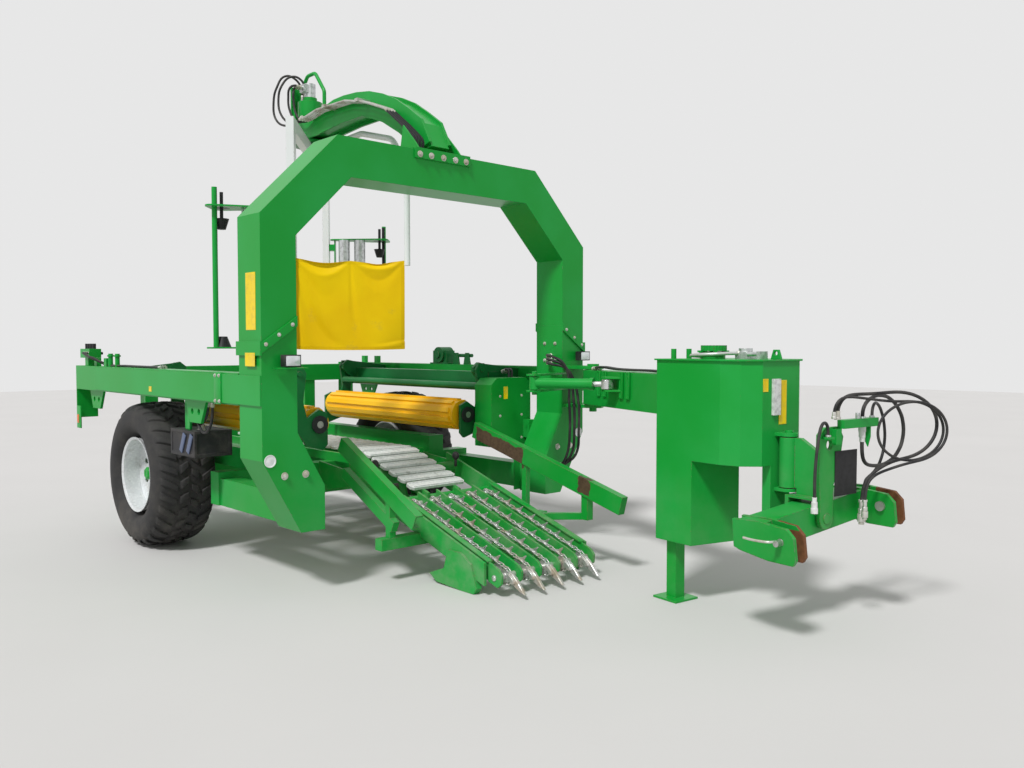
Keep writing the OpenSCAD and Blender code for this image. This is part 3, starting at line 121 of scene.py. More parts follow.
class Finish:
    def __init__(self, name):
        self.material = bpy.data.materials.new(name)
        self.material.use_nodes = True
        self.tree = self.material.node_tree
        self.shader = self.tree.nodes["Principled BSDF"]
        self.place = self.node("TexCoord")["Object"]
        self.x, self.y, self.z = self.split(self.place)

    def node(self, kind, settings={}, sockets={}):
        made = self.tree.nodes.new("ShaderNode" + kind)
        for key, value in settings.items():
            setattr(made, key, value)
        for key, value in sockets.items():
            if isinstance(value, Flow):
                self.tree.links.new(value.socket, made.inputs[key])
            else:
                made.inputs[key].default_value = value
        return {socket.name: Flow(self, socket) for socket in made.outputs if socket.enabled}

    def split(self, vector):
        parts = self.node("SeparateXYZ", {}, {"Vector": vector})
        return parts["X"], parts["Y"], parts["Z"]

    def turned(self, centre, angle):
        # place measured from a centre, in a frame turned about the vertical
        moved = self.node("VectorMath", {"operation": "SUBTRACT"}, {0: self.place, 1: centre})["Vector"]
        sockets = {"Vector": moved, "Angle": -angle}
        return self.node("VectorRotate", {"rotation_type": "Z_AXIS"}, sockets)["Vector"]

    def inside(self, low, high, place):
        # 1 inside a box
        mask = None
        for value, least, most in zip(self.split(place), low, high):
            span = value.over(least) * value.under(most)
            mask = span if mask is None else mask * span
        return mask

    def within(self, first, second, radius):
        # 1 nearer to an axis than the radius, from the two offsets to it
        squares = first * first + second * second
        return squares.under(radius * radius)

    def noise(self, scale, detail=3, rough=0.5, stretch=None):
        place = self.place
        if stretch:
            place = self.node("Mapping", {}, {"Vector": place, "Scale": stretch})["Vector"]
        sockets = {"Vector": place, "Scale": scale, "Detail": detail, "Roughness": rough}
        return self.node("TexNoise", {}, sockets)["Fac"]

    def cells(self, scale):
        return self.node("TexVoronoi", {}, {"Vector": self.place, "Scale": scale})["Distance"]

    def wave(self, scale, place):
        return self.node("TexWave", {}, {"Vector": place, "Scale": scale})["Fac"]

    def ramp(self, value, low, high, start=0, end=1):
        # runs smoothly from start to end while the value goes from low to high
        sockets = {"Value": value, "From Min": low, "From Max": high, "To Min": start, "To Max": end}
        return self.node("MapRange", {"interpolation_type": "SMOOTHSTEP"}, sockets)["Result"]

    def blend(self, mask, first, second):
        made = self.tree.nodes.new("ShaderNodeMix")
        made.data_type = "RGBA"
        for place, value in ((0, mask), (6, first), (7, second)):
            if isinstance(value, Flow):
                self.tree.links.new(value.socket, made.inputs[place])
            else:
                made.inputs[place].default_value = value if place == 0 else (*value, 1)
        return Flow(self, made.outputs[2])

    def covered(self, mask, below, above):
        # one value in place of another where the mask is 1
        return below * (1 - mask) + mask * above

    def upward(self):
        # 1 on faces that look up, 0 on walls and undersides
        normal = self.node("NewGeometry")["Normal"]
        return self.ramp(self.split(normal)[2], 0.3, 0.9)

    def rounded(self, radius):
        return self.node("Bevel", {"samples": 4}, {"Radius": radius})["Normal"]

    def edges(self, radius):
        # 1 along sharp edges, where the rounded normal leaves the true one
        true = self.node("NewGeometry")["Normal"]
        both = {0: self.rounded(radius), 1: true}
        match = self.node("VectorMath", {"operation": "DOT_PRODUCT"}, both)["Value"]
        return self.ramp(match, 0.995, 0.9)

    def bump(self, height, strength, distance=0.002, under=None):
        sockets = {"Height": height, "Strength": strength, "Distance": distance}
        if under:
            sockets["Normal"] = under
        return self.node("Bump", {}, sockets)["Normal"]

    def finish(self, colour, rough, normal=None, metallic=0, coat=0, gleam=0.22):
        named = {"Base Color": colour, "Roughness": rough, "Normal": normal, "Metallic": metallic}
        for key, value in named.items():
            if isinstance(value, Flow):
                self.tree.links.new(value.socket, self.shader.inputs[key])
            elif isinstance(value, tuple):
                self.shader.inputs[key].default_value = (*value, 1)
            elif value is not None:
                self.shader.inputs[key].default_value = value
        self.shader.inputs["Specular IOR Level"].default_value = gleam
        self.shader.inputs["Coat Weight"].default_value = coat
        self.shader.inputs["Coat Roughness"].default_value = 0.12
        return self.material


# finishes

colours = {
    "green": (0.004, 0.3, 0.03),
    "greenFaded": (0.014, 0.35, 0.062),
    "deepGreen": (0.004, 0.125, 0.028),
    "yellow": (0.93, 0.5, 0.004),
    "white": (0.8, 0.82, 0.82),
    "dust": (0.36, 0.33, 0.28),
    "steel": (0.42, 0.41, 0.39),
    "silver": (0.66, 0.68, 0.68),
    "bareSteel": (0.23, 0.21, 0.19),
    "rust": (0.19, 0.075, 0.03),
    "wornBrown": (0.12, 0.075, 0.045),
    "rubber": (0.022, 0.022, 0.024),
    "gauge": (0.75, 0.76, 0.75),
}


def boxPatch(low, high, colour, rough, metallic, frameAt=None, turn=0):
    def mask(finish):
        return finish.inside(low, high, finish.turned(frameAt, turn) if frameAt else finish.place)
    return mask, colours[colour], rough, metallic


def axisPatch(firstAxis, secondAxis, centre, radius, colour, rough, metallic, frameAt=None, turn=0, span=None):
    # a patch round an axis; the axes are 0, 1 and 2 for X, Y and Z
    def mask(finish):
        place = finish.split(finish.turned(frameAt, turn) if frameAt else finish.place)
        found = finish.within(place[firstAxis] - centre[0], place[secondAxis] - centre[1], radius)
        if span:
            along = place[3 - firstAxis - secondAxis]
            found = found * along.over(span[0]) * along.under(span[1])
        return found
    return mask, colours[colour], rough, metallic


def slantPatch(low, high, slope, colour, rough, metallic):
    # worn band on the left guide, which falls by the slope towards the front
    def mask(finish):
        along, across, height = finish.split(finish.place)
        border = (finish.noise(9, 4, 0.6) - 0.5) * 0.1
        level = height + along * slope + border
        span = (along + border).over(low[0]) * (along + border).under(high[0])
        return span * across.over(0.6) * across.under(0.735) * level.over(low[1]) * level.under(high[1])
    return mask, colours[colour], rough, metallic


def paintedSteel(name, colour, faded, wear=0.25, dust=0.2, shine=0.28, coat=0.06, patches=()):
    steel = Finish(name)
    broad = steel.noise(1.3, 4, 0.55)
    fine = steel.noise(38, 5, 0.6)
    speck = steel.noise(160, 2, 0.6)
    base = steel.blend(steel.ramp(broad, 0.35, 0.72, 0, 0.75), colour, faded)
    # chips along the edges, with bare steel and a little rust in them
    edge = steel.edges(0.006)
    chips = edge * steel.ramp(fine + speck * 0.25, 0.78 - 0.3 * wear, 0.84 - 0.3 * wear)
    metal = steel.blend(steel.ramp(steel.noise(55, 3), 0.4, 0.62), colours["bareSteel"], colours["rust"])
    base = steel.blend(chips * 0.85, base, metal)
    roughness = shine + broad * 0.12 + chips * 0.2
    metallic = chips * 0.3
    for mask, patchColour, patchRough, patchMetal in patches:
        patch = mask(steel)
        mottled = tuple(0.72 * part for part in patchColour)
        base = steel.blend(patch, base, steel.blend(steel.ramp(fine, 0.4, 0.65), patchColour, mottled))
        roughness = steel.covered(patch, roughness, patchRough)
        metallic = steel.covered(patch, metallic, patchMetal)
    # dust that settles low down and on faces that look up
    low = steel.ramp(steel.z, 1.3, 0.1)
    grime = steel.ramp(steel.noise(5, 6, 0.65), 0.35, 0.75)
    settled = (low * 0.4 + steel.upward() * 0.3) * grime * dust
    base = steel.blend(settled, base, colours["dust"])
    roughness = roughness + settled * 0.4
    orangePeel = steel.bump(steel.noise(260, 1, 0.4), 0.06, 0.001, steel.rounded(0.004))
    return steel.finish(base, roughness, orangePeel, metallic, coat)


def zincPlate(name, bright, dull, metal, patches=()):
    zinc = Finish(name)
    spangle = zinc.cells(46)
    wide = zinc.noise(3, 5, 0.6)
    base = zinc.blend(zinc.ramp(spangle, 0.1, 0.7), bright, dull)
    stain = zinc.ramp(zinc.noise(14, 6, 0.65), 0.5, 0.75)
    base = zinc.blend(stain * 0.55, base, (0.3, 0.29, 0.26))
    roughness = 0.38 + wide * 0.22 + stain * 0.2
    metallic = metal - stain * 0.35
    for mask, patchColour, patchRough, patchMetal in patches:
        patch = mask(zinc)
        base = zinc.blend(patch, base, patchColour)
        roughness = zinc.covered(patch, roughness, patchRough)
        metallic = zinc.covered(patch, metallic, patchMetal)
    scratch = zinc.noise(70, 2, 0.5, stretch=(1, 14, 14))
    normal = zinc.bump(scratch, 0.12, 0.001, zinc.rounded(0.004))
    return zinc.finish(base, roughness, normal, metallic)


def wornSteel(name, colour, stained, metal=0.8, rough=0.34, blackFrom=None):
    steel = Finish(name)
    broad = steel.ramp(steel.noise(9, 6, 0.65), 0.4, 0.68)
    base = steel.blend(broad, colour, stained)
    roughness = rough + broad * 0.35
    metallic = metal - broad * 0.5
    if blackFrom is not None:
        # hose in place of pipe in front of this place along the machine
        hose = steel.x.over(blackFrom)
        base = steel.blend(hose, base, colours["rubber"])
        roughness = steel.covered(hose, roughness, 0.5)
        metallic = metallic * (1 - hose)
    streak = steel.noise(120, 2, 0.5, stretch=(1, 8, 8))
    normal = steel.bump(streak, 0.15, 0.001, steel.rounded(0.002))
    return steel.finish(base, roughness, normal, metallic)


def tyreRubber():
    rubber = Finish("tyreRubber")
    broad = rubber.ramp(rubber.noise(4, 6, 0.7), 0.35, 0.75)
    base = rubber.blend(broad * 0.7, (0.028, 0.028, 0.029), (0.075, 0.071, 0.065))
    low = rubber.ramp(rubber.z, 0.5, 0.0)
    base = rubber.blend(low * broad * 0.5, base, (0.15, 0.135, 0.117))
    # moulded rings on the side walls
    away, up = rubber.x - machine["wheelX"], rubber.z - machine["wheelZ"]
    radius = rubber.x.maths("SQRT", away * away + up * up)
    rings = rubber.x.maths("SINE", radius * 260)
    wall = rubber.ramp(radius, 0.5, 0.47)
    grain = rubber.noise(190, 3, 0.6) + rings * wall * 0.35
    normal = rubber.bump(grain, 0.25, 0.0015, rubber.rounded(0.006))
    return rubber.finish(base, 0.62 + broad * 0.22, normal)


def blackMoulding():
    plastic = Finish("blackMoulding")
    grime = plastic.ramp(plastic.noise(8, 5, 0.65), 0.4, 0.75)
    base = plastic.blend(grime * 0.5, colours["rubber"], (0.12, 0.11, 0.1))
    grain = plastic.bump(plastic.noise(330, 2, 0.6), 0.2, 0.001, plastic.rounded(0.003))
    return plastic.finish(base, 0.42 + grime * 0.3, grain)


def hoseRubber():
    rubber = Finish("hoseRubber")
    broad = rubber.ramp(rubber.noise(6, 5, 0.6), 0.35, 0.7)
    base = rubber.blend(broad, (0.018, 0.018, 0.02), (0.065, 0.062, 0.058))
    wrap = rubber.bump(rubber.noise(420, 2, 0.5), 0.2, 0.0006)
    return rubber.finish(base, 0.38 + broad * 0.25, wrap)


def clothWeave():
    # coated yellow cloth with a hem, on the sheet's own map
    cloth = Finish("clothWeave")
    sheetPlace = cloth.node("TexCoord")["UV"]
    across, up, _ = cloth.split(sheetPlace)
    broad = cloth.noise(2.2, 4, 0.55)
    base = cloth.blend(cloth.ramp(broad, 0.35, 0.7), (0.9, 0.6, 0.0), (0.84, 0.52, 0.0))
    edge, height = up.maths("ABSOLUTE", across - 0.5), up.maths("ABSOLUTE", up - 0.5)
    hem = up.maths("MAXIMUM", edge.over(0.468), height.over(0.462))
    base = cloth.blend(hem * 0.35, base, (0.6, 0.36, 0.0))
    smudge = cloth.ramp(cloth.noise(7, 6, 0.7), 0.58, 0.8)
    base = cloth.blend(smudge * 0.35, base, (0.38, 0.26, 0.09))
    threads = cloth.wave(160, sheetPlace) + cloth.noise(900, 1, 0.5)
    normal = cloth.bump(threads, 0.1, 0.0004)
    return cloth.finish(base, 0.5 + smudge * 0.2, normal, gleam=0.15)


def plainGloss(name, colour, rough, metal, coat, grainScale=240):
    gloss = Finish(name)
    broad = gloss.noise(22, 4, 0.6)
    faded = tuple(min(1, part * 0.82 + 0.02) for part in colour)
    base = gloss.blend(gloss.ramp(broad, 0.4, 0.7), colour, faded)
    normal = gloss.bump(gloss.noise(grainScale, 2, 0.5), 0.08, 0.0006)
    return gloss.finish(base, rough + broad * 0.12, normal, metal, coat)


towerPatch = {"frameAt": machine["towerAt"], "turn": machine["towerTurn"]}


def dispenserPatches(turn):
    # rollers and film cones of a dispenser, in the frame of its arm
    radius = machine["postRadius"]
    place = {"frameAt": (machine["satelliteX"], 0, 0), "turn": turn}
    spots = [((radius - 0.05, across), 0.0556, "silver", 0.32, 0.8, (1.6125, 2.6595))
             for across in (-0.18, -0.33)]
    spots += [((radius + 0.01, -0.52), 0.0605, "rubber", 0.45, 0, span)
              for span in ((1.6125, 1.694), (2.4, 2.8))]
    return [axisPatch(0, 1, *spot, span=span, **place) for *spot, span in spots]


def greenPaint(name, **settings):
    return paintedSteel(name, colours["green"], colours["greenFaded"], **settings)


patches = {
    "guide": [
        slantPatch((-0.14, 0.79), (0.42, 0.925), 0.272, "wornBrown", 0.42, 0.3),
        slantPatch((1.0, 0.825), (1.1, 0.945), 0.272, "wornBrown", 0.45, 0.3)],
    "fork": [
        boxPatch((0.68, -0.437, 0.3), (0.9, -0.4, 0.9), "rust", 0.75, 0.1, **towerPatch),
        boxPatch((0.68, 0.484, 0.3), (0.9, 0.53, 0.9), "rust", 0.75, 0.1, **towerPatch)],
    "roller": [
        boxPatch((-0.2645, -2, 0), (0, 2, 3), "rubber", 0.45, 0),
        axisPatch(1, 2, (0.7, 1.05), 0.0256, "steel", 0.4, 0.8),
        axisPatch(1, 2, (-0.7, 1.05), 0.0256, "steel", 0.4, 0.8)],
    "drive": [
        boxPatch((-1.6, -0.11, 3.7705), (-1.5, 0.05, 3.895), "silver", 0.35, 0.7)],
    "valve": [
        boxPatch((-3.12, -1.5, 1.5955), (-2.88, -1.2, 1.7), "rubber", 0.4, 0),
        boxPatch((-3.12, -1.3405, 1.53), (-2.88, -1.3, 1.58), "rubber", 0.4, 0)],
    "top": [
        boxPatch((0.055, -0.07, 1.5405), (0.255, 0.036, 1.7), "silver", 0.35, 0.7, **towerPatch),
        boxPatch((0.36, -0.1, 1.2), (0.4, -0.01, 1.44), "gauge", 0.35, 0.1, **towerPatch)],
    "bracket": [
        boxPatch((0.6795, 0.06, 0.74), (0.6855, 0.29, 1.03), "rubber", 0.55, 0, **towerPatch),
        boxPatch((0.6, -0.2, 1.2002), (0.8, 0.6, 1.3), "silver", 0.3, 0.8, **towerPatch),
        boxPatch((0.6, -0.05, 1.1102), (0.8, 0.012, 1.13), "silver", 0.3, 0.8, **towerPatch)],
    "hub": [
        axisPatch(0, 2, (machine["wheelX"], machine["wheelZ"]), 0.0925, "green", 0.35, 0)],
}
green = greenPaint("greenPaint")
tyre = tyreRubber()
blackPlastic = blackMoulding()
hoseFinish = hoseRubber()
clothFinish = clothWeave()
dressing = [
    (green, list(nodes)),
    (greenPaint("rampPaint", wear=0.75, dust=0.75), ["ramp_frame", "ramp_rails", "headstock", "ramp_hinge"]),
    (greenPaint("guidePaint", wear=0.8, patches=patches["guide"]), ["ramp_guides"]),
    (greenPaint("forkPaint", wear=0.7, patches=patches["fork"]), ["cross_tube"]),
    (paintedSteel("gearPaint", colours["deepGreen"], (0.012, 0.19, 0.05), wear=0.5, dust=0.6),
     ["satellite_hub", "roller_beam_left", "roller_beam_right", "roller_frame_left",
      "roller_frame_right", "lift_gear"]),
    (paintedSteel("rollerPaint", colours["yellow"], (0.95, 0.56, 0.012), wear=0.15, dust=0.12,
                  patches=patches["roller"]), ["roller_left", "roller_right"]),
    (paintedSteel("armPaint", colours["white"], (0.72, 0.74, 0.73), wear=0.3, dust=0.35),
     ["satellite_arms", "safety_hoop"]),
    (greenPaint("drivePaint", patches=patches["drive"]), ["slew_drive"]),
    (greenPaint("valvePaint", patches=patches["valve"]), ["valve_bank"]),
    (greenPaint("tankTopPaint", patches=patches["top"]), ["tank_fittings"]),
    (greenPaint("bracketPaint", patches=patches["bracket"]), ["hose_bracket"]),
    (greenPaint("frontDispenserPaint", patches=dispenserPatches(machine["armTurn"])), ["dispenser_front"]),
    (greenPaint("rearDispenserPaint", patches=dispenserPatches(machine["armTurn"] + math.pi)),
     ["dispenser_rear"]),
    (zincPlate("zincPlate", (0.82, 0.84, 0.82), (0.72, 0.74, 0.72), 0.2),
     ["bed_slats", "ramp_slats", "coupler_1", "coupler_2", "coupler_3"]),
    (zincPlate("rimPaint", (0.74, 0.76, 0.76), (0.66, 0.68, 0.69), 0.35, patches["hub"]),
     ["rim_left", "rim_right"]),
    (wornSteel("chainSteel", (0.5, 0.5, 0.48), (0.2, 0.14, 0.09)), ["pickup_chains", "hitch_pins"]),
    (wornSteel("rodChrome", (0.72, 0.73, 0.74), (0.55, 0.55, 0.54), 1, 0.12),
     ["ramp_ram_rod", "steer_ram_rod"]),
    (wornSteel("pipeSteel", (0.6, 0.6, 0.57), (0.35, 0.32, 0.26), 0.8, 0.3, blackFrom=-0.12), ["boom_pipes"]),
    (tyre, ["tyre_left", "tyre_right"]),
    (blackPlastic, ["work_lamps", "black_box"]),
]
print("finishes made")


def dress(name, finish):
    slots = nodes[name].data.materials
    if len(slots) == 0:
        slots.append(finish)
    for place in range(len(slots)):
        slots[place] = finish


for finish, names in dressing:
    for name in names:
        dress(name, finish)
print("nodes dressed")

# hydraulic hoses that hang free at the hitch: three in place of the plain ones, two looped over the bracket

hoses = {
    "hose_1": {"across": 0.022, "points": [
        (3.01, 0.95, 1.21), (3.01, 0.95, 1.23), (3.01, 0.95, 1.25), (3.015, 0.99, 1.3), (3.025, 1.09, 1.33),
        (3.035, 1.21, 1.32), (3.04, 1.32, 1.27), (3.045, 1.4, 1.19), (3.045, 1.43, 1.1), (3.04, 1.41, 1.01),
        (3.03, 1.34, 0.94), (3.015, 1.25, 0.905), (3.0, 1.15, 0.9), (2.995, 1.05, 0.915), (3.0, 0.985, 0.95),
        (3.005, 0.965, 0.99), (3.005, 0.96, 1.02), (3.005, 0.96, 1.04), (3.005, 0.96, 1.06)]},
    "hose_2": {"across": 0.018, "points": [
        (3.02, 1.05, 1.21), (3.02, 1.05, 1.225), (3.02, 1.05, 1.24), (3.01, 1.085, 1.27), (2.99, 1.16, 1.285),
        (2.97, 1.26, 1.25), (2.96, 1.335, 1.17), (2.96, 1.36, 1.07), (2.96, 1.34, 0.97), (2.965, 1.27, 0.89),
        (2.97, 1.18, 0.85), (2.985, 1.09, 0.838), (3.005, 1.01, 0.83), (3.015, 0.975, 0.8),
        (3.015, 0.97, 0.77), (3.015, 0.97, 0.75), (3.015, 0.97, 0.73)]},
    "hose_3": {"across": 0.018, "points": [
        (2.97, 0.625, 1.12), (2.97, 0.625, 1.14), (2.97, 0.625, 1.16), (2.97, 0.595, 1.2), (2.97, 0.55, 1.19),
        (2.97, 0.52, 1.12), (2.965, 0.505, 1.01), (2.96, 0.5, 0.9), (2.96, 0.5, 0.82), (2.96, 0.5, 0.8),
        (2.96, 0.5, 0.78)]},
}
loops = {
    "hose_4": {"across": 0.02, "exit": (2.985, 0.7, 1.235), "centre": (3.15, 1.08, 1.16), "wide": 0.3,
               "high": 0.2, "turns": 1, "apart": 0.03, "end": (3.06, 0.855, 0.7)},
    "hose_5": {"across": 0.016, "exit": (2.985, 0.66, 1.235), "centre": (3.215, 1.105, 1.13), "wide": 0.26,
               "high": 0.18, "turns": 2, "apart": 0.024, "end": (3.105, 0.8, 0.72)},
}
loopFrame = {
    "level": Vector((0.42, 0.907, 0)),
    "side": Vector((0.907, -0.42, 0)),
    "rise": [(0, 0, 0), (0, 0, 0.06), (0.01, 0.02, 0.11)],
    "fall": [(0.0042, 0.00907, 0.16), (0, 0, 0.08), (0, 0, 0.04), (0, 0, 0)],
    "first": math.radians(112),
    "last": math.radians(-100),
    "steps": 9,
    "rounds": 22,
}


def bentLine(name, points, across, fineness):
    # a round line through the points, as a curve
    curve = bpy.data.curves.new(name, "CURVE")
    curve.dimensions = "3D"
    curve.bevel_depth = across / 2
    curve.bevel_resolution = fineness
    curve.resolution_u = 8
    curve.use_fill_caps = True
    line = curve.splines.new("BEZIER")
    line.bezier_points.add(len(points) - 1)
    for knot, place in zip(line.bezier_points, points):
        knot.co = place
        knot.handle_left_type = knot.handle_right_type = "AUTO"
    piece = bpy.data.objects.new(name, curve)
    bpy.context.scene.collection.objects.link(piece)
    return piece, line


def relaxed(points, rounds, step=0.02):
    # the same route without kinks: short steps, each drawn towards its neighbours
    path = [Vector(place) for place in points]
    fine = [path[0]]
    for first, second in zip(path, path[1:]):
        parts = max(1, round((second - first).length / step))
        fine += [first.lerp(second, part / parts) for part in range(1, parts + 1)]
    for turn in range(rounds):
        middle = [(a + b * 2 + c) / 4 for a, b, c in zip(fine[1:], fine[2:-2], fine[3:])]
        fine = fine[:2] + middle + fine[-2:]
    return [tuple(place) for place in fine[:-1:2]] + [tuple(fine[-1])]


def hangHose(name, points, across):
    piece, line = bentLine(name, points, across, 5)
    piece.data.materials.append(hoseFinish)
    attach(piece, "headstock")
    return piece, line


def loopRoute(loop):
    # up out of the gland, round over the bracket, and down to the loose end
    centre = Vector(loop["centre"])
    points = [Vector(loop["exit"]) + Vector(shift) for shift in loopFrame["rise"]]
    first, last = loopFrame["first"], loopFrame["last"] - math.tau * (loop["turns"] - 1)
    count = loopFrame["steps"] * loop["turns"]
    for step in range(count + 1):
        share = step / count
        angle = first + (last - first) * share
        place = centre + loopFrame["level"] * loop["wide"] * math.cos(angle)
        place += Vector((0, 0, loop["high"] * math.sin(angle)))
        points.append(place + loopFrame["side"] * loop["apart"] * share * loop["turns"])
    points += [Vector(loop["end"]) + Vector(shift) for shift in loopFrame["fall"]]
    return relaxed(points, loopFrame["rounds"])


for name, hose in hoses.items():
    piece, line = hangHose(name + "_rubber", relaxed(hose["points"], 4), hose["across"])
    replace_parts(piece, name)
routes = {name: loopRoute(loop) for name, loop in loops.items()}
looped = {name: hangHose(name, routes[name], loop["across"]) for name, loop in loops.items()}
print("hoses hung")

# helpers for pieces that are modelled here

front, towards = Vector((1, 0, 0)), Vector((0, -1, 0))
away, upwards = Vector((0, 1, 0)), Vector((0, 0, 1))


def clearSelection():
    bpy.ops.object.select_all(action="DESELECT")


def only(piece):
    clearSelection()
    piece.select_set(True)
    bpy.context.view_layer.objects.active = piece


def facing(normal):
    return Vector(normal).to_track_quat("Z", "Y").to_euler()


def looking(direction):
    # a test for faces that look one way
    return lambda face: face.normal.dot(direction) > 0.9


def endFaces(face):
    return abs(face.normal.z) > 0.9


def wallFaces(face):
    return abs(face.normal.z) < 0.1


def everyOtherWall(face):
    return wallFaces(face) and face.index % 2 == 0


def apply(piece, kind, settings):
    only(piece)
    modifier = piece.modifiers.new(kind.lower(), kind)
    for key, value in settings.items():
        setattr(modifier, key, value)
    bpy.ops.object.modifier_apply(modifier=modifier.name)


def bevel(piece, width, segments=2):
    apply(piece, "BEVEL", {"width": width, "segments": segments, "limit_method": "ANGLE"})


def applyPlace():
    bpy.ops.object.transform_apply(location=True, rotation=True, scale=True)


def settle(piece, name, finish, body, smooth=40):
    only(piece)
    applyPlace()
    piece.name = name
    piece.data.materials.clear()
    piece.data.materials.append(finish)
    bpy.ops.object.shade_smooth_by_angle(angle=math.radians(smooth))
    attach(piece, body)
    return piece


def begin(kind, **settings):
    # a primitive at its place, alone selected
    clearSelection()
    getattr(bpy.ops.mesh, "primitive_" + kind + "_add")(**settings)
    return bpy.context.object


def rod(sides, radius, depth, place=(0, 0, 0), **settings):
    return begin("cylinder", vertices=sides, radius=radius, depth=depth, location=place, **settings)


def slab(place, size):
    piece = begin("cube", size=1, location=place)
    piece.scale = size
    applyPlace()
    return piece


def editFaces(piece, test):
    # edit mode with only the faces that pass the test selected
    only(piece)
    bpy.ops.object.mode_set(mode="EDIT")
    bpy.ops.mesh.select_mode(type="FACE")
    bpy.ops.mesh.select_all(action="DESELECT")
    bpy.ops.object.mode_set(mode="OBJECT")
    for face in piece.data.polygons:
        face.select = test(face)
    bpy.ops.object.mode_set(mode="EDIT")


def leaveEdit():
    bpy.ops.object.mode_set(mode="OBJECT")


def inset(*steps):
    for thickness, depth in steps:
        bpy.ops.mesh.inset(thickness=thickness, depth=depth)


def press(piece, test, *steps):
    # insets in the faces that pass, one after the other, each with its thickness and depth
    editFaces(piece, test)
    inset(*steps)
    leaveEdit()


def outward(piece):
    editFaces(piece, lambda face: True)
    bpy.ops.mesh.normals_make_consistent(inside=False)
    leaveEdit()


def join(pieces):
    only(pieces[0])
    for piece in pieces[1:]:
        piece.select_set(True)
    if len(pieces) > 1:
        bpy.ops.object.join()
    return pieces[0]


def spread(shape, matrices):
    # copies of one shape, each with its own mesh
    made = []
    for matrix in matrices:
        copy = shape.copy()
        copy.data = shape.data.copy()
        copy.data.transform(matrix)
        copy.matrix_world = Matrix()
        bpy.context.scene.collection.objects.link(copy)
        made.append(copy)
    bpy.data.objects.remove(shape)
    return join(made)


def stamp(shape, spots):
    # copies stood along a normal at each spot
    return spread(shape, [Matrix.Translation(place) @ facing(normal).to_matrix().to_4x4()
                          for place, normal in spots])


def pressedBar(place, size, steps, edge, turn=(0, 0, 0)):
    # a flat bar with a pressed face, turned about its own middle
    bar = slab((0, 0, 0), size)
    press(bar, looking(towards), *steps)
    bevel(bar, edge)
    bar.location = place
    bar.rotation_euler = turn
    only(bar)
    applyPlace()
    return bar


# the cloth between the front post and the hoop

cloth = {
    "low": 1.595,
    "high": 2.29,
    "slack": 0.014,      # depth of the folds in its first shape
    "folds": 2.5,
    "lean": 0.8,
    "droop": 0.012,
    "lowerTie": 0.07,    # height of the lower tie, as a share
    "steps": (72, 60),
    "frames": 34,
    "thick": 0.0014,
    "fabric": {"quality": 8, "mass": 0.35, "tension_stiffness": 40, "compression_stiffness": 40,
               "shear_stiffness": 12, "bending_stiffness": 1.2, "vertex_group_mass": "held"},
}


def hangCloth():
    low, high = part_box("wind_cloth")
    start, end = Vector((low[0], low[1], 0)), Vector((high[0], high[1], 0))
    across = end - start
    width, height = across.length, cloth["high"] - cloth["low"]
    middle = (start + end) / 2 + upwards * (cloth["low"] + cloth["high"]) / 2
    side = Vector((across.y, -across.x, 0)).normalized()
    piece = begin("grid", x_subdivisions=cloth["steps"][0], y_subdivisions=cloth["steps"][1],
                  size=1, location=middle, rotation=facing(side))
    piece.scale = (width, height, 1)
    applyPlace()
    held = piece.vertex_groups.new(name="held")
    for knot in piece.data.vertices:
        along = (knot.co - start).dot(across) / width / width
        up = (knot.co.z - cloth["low"]) / height
        bow = math.sin(min(1, max(0, along)) * math.pi)
        swing = math.sin((along * cloth["folds"] + up * cloth["lean"]) * 2 * math.pi) * bow
        knot.co += side * cloth["slack"] * swing
        knot.co.z -= cloth["droop"] * up * bow
        outer, top = along > 0.99, up > 0.99
        tied = outer and abs(up - cloth["lowerTie"]) < 0.02
        if along < 0.006 or tied or top and (outer or abs(along - 0.5) < 0.01):
            held.add([knot.index], 1, "REPLACE")
    only(piece)
    modifier = piece.modifiers.new("cloth", "CLOTH")
    for key, value in cloth["fabric"].items():
        setattr(modifier.settings, key, value)
    modifier.point_cache.frame_end = cloth["frames"]
    for step in range(1, cloth["frames"] + 1):
        bpy.context.scene.frame_set(step)
    bpy.ops.object.modifier_apply(modifier="cloth")
    bpy.context.scene.frame_set(1)
    apply(piece, "SUBSURF", {"levels": 1, "render_levels": 1})
    apply(piece, "SOLIDIFY", {"thickness": cloth["thick"], "offset": 0})
    settle(piece, "wind_cloth_sheet", clothFinish, "satellite", 60)
    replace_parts(piece, "wind_cloth")


hangCloth()
print("cloth hung")

# small fittings: bolts, tags, reflectors and lamp glass


def boltShape(radius):
    # hexagon head with a chamfered top on a washer, and the end of its thread
    washer = rod(20, radius * 1.45, radius * 0.3, (0, 0, radius * 0.15))
    bevel(washer, radius * 0.06, 1)
    head = rod(6, radius, radius * 0.7, (0, 0, radius * 0.65))
    editFaces(head, looking(upwards))
    inset((radius * 0.14, radius * 0.1), (radius * 0.3, 0))
    bpy.ops.mesh.extrude_region_move(TRANSFORM_OT_translate={"value": (0, 0, radius * 0.18)})
    leaveEdit()
    return join([washer, head])


def tagShape(width, height, thick=0.002):
    # thin plate with rounded corners and a pressed rim, facing +Z
    plate = slab((0, 0, thick / 2), (width, height, thick))
    rim = min(width, height)
    press(plate, looking(upwards), (rim * 0.06, 0), (rim * 0.03, -thick * 0.3))
    bevel(plate, thick * 0.3)
    return plate


def discShape(radius, thick):
    # round reflector with a rim and a crowned face
    disc = rod(40, radius, thick, (0, 0, thick / 2))
    press(disc, looking(upwards), (radius * 0.14, 0), (radius * 0.04, -thick * 0.35),
          *[(radius * 0.18, thick * 0.09)] * 4)
    return disc


lampPane = {"columns": 24, "rows": 10, "crown": 0.006, "ribHigh": 0.0008, "ribs": 60, "thick": 0.003}


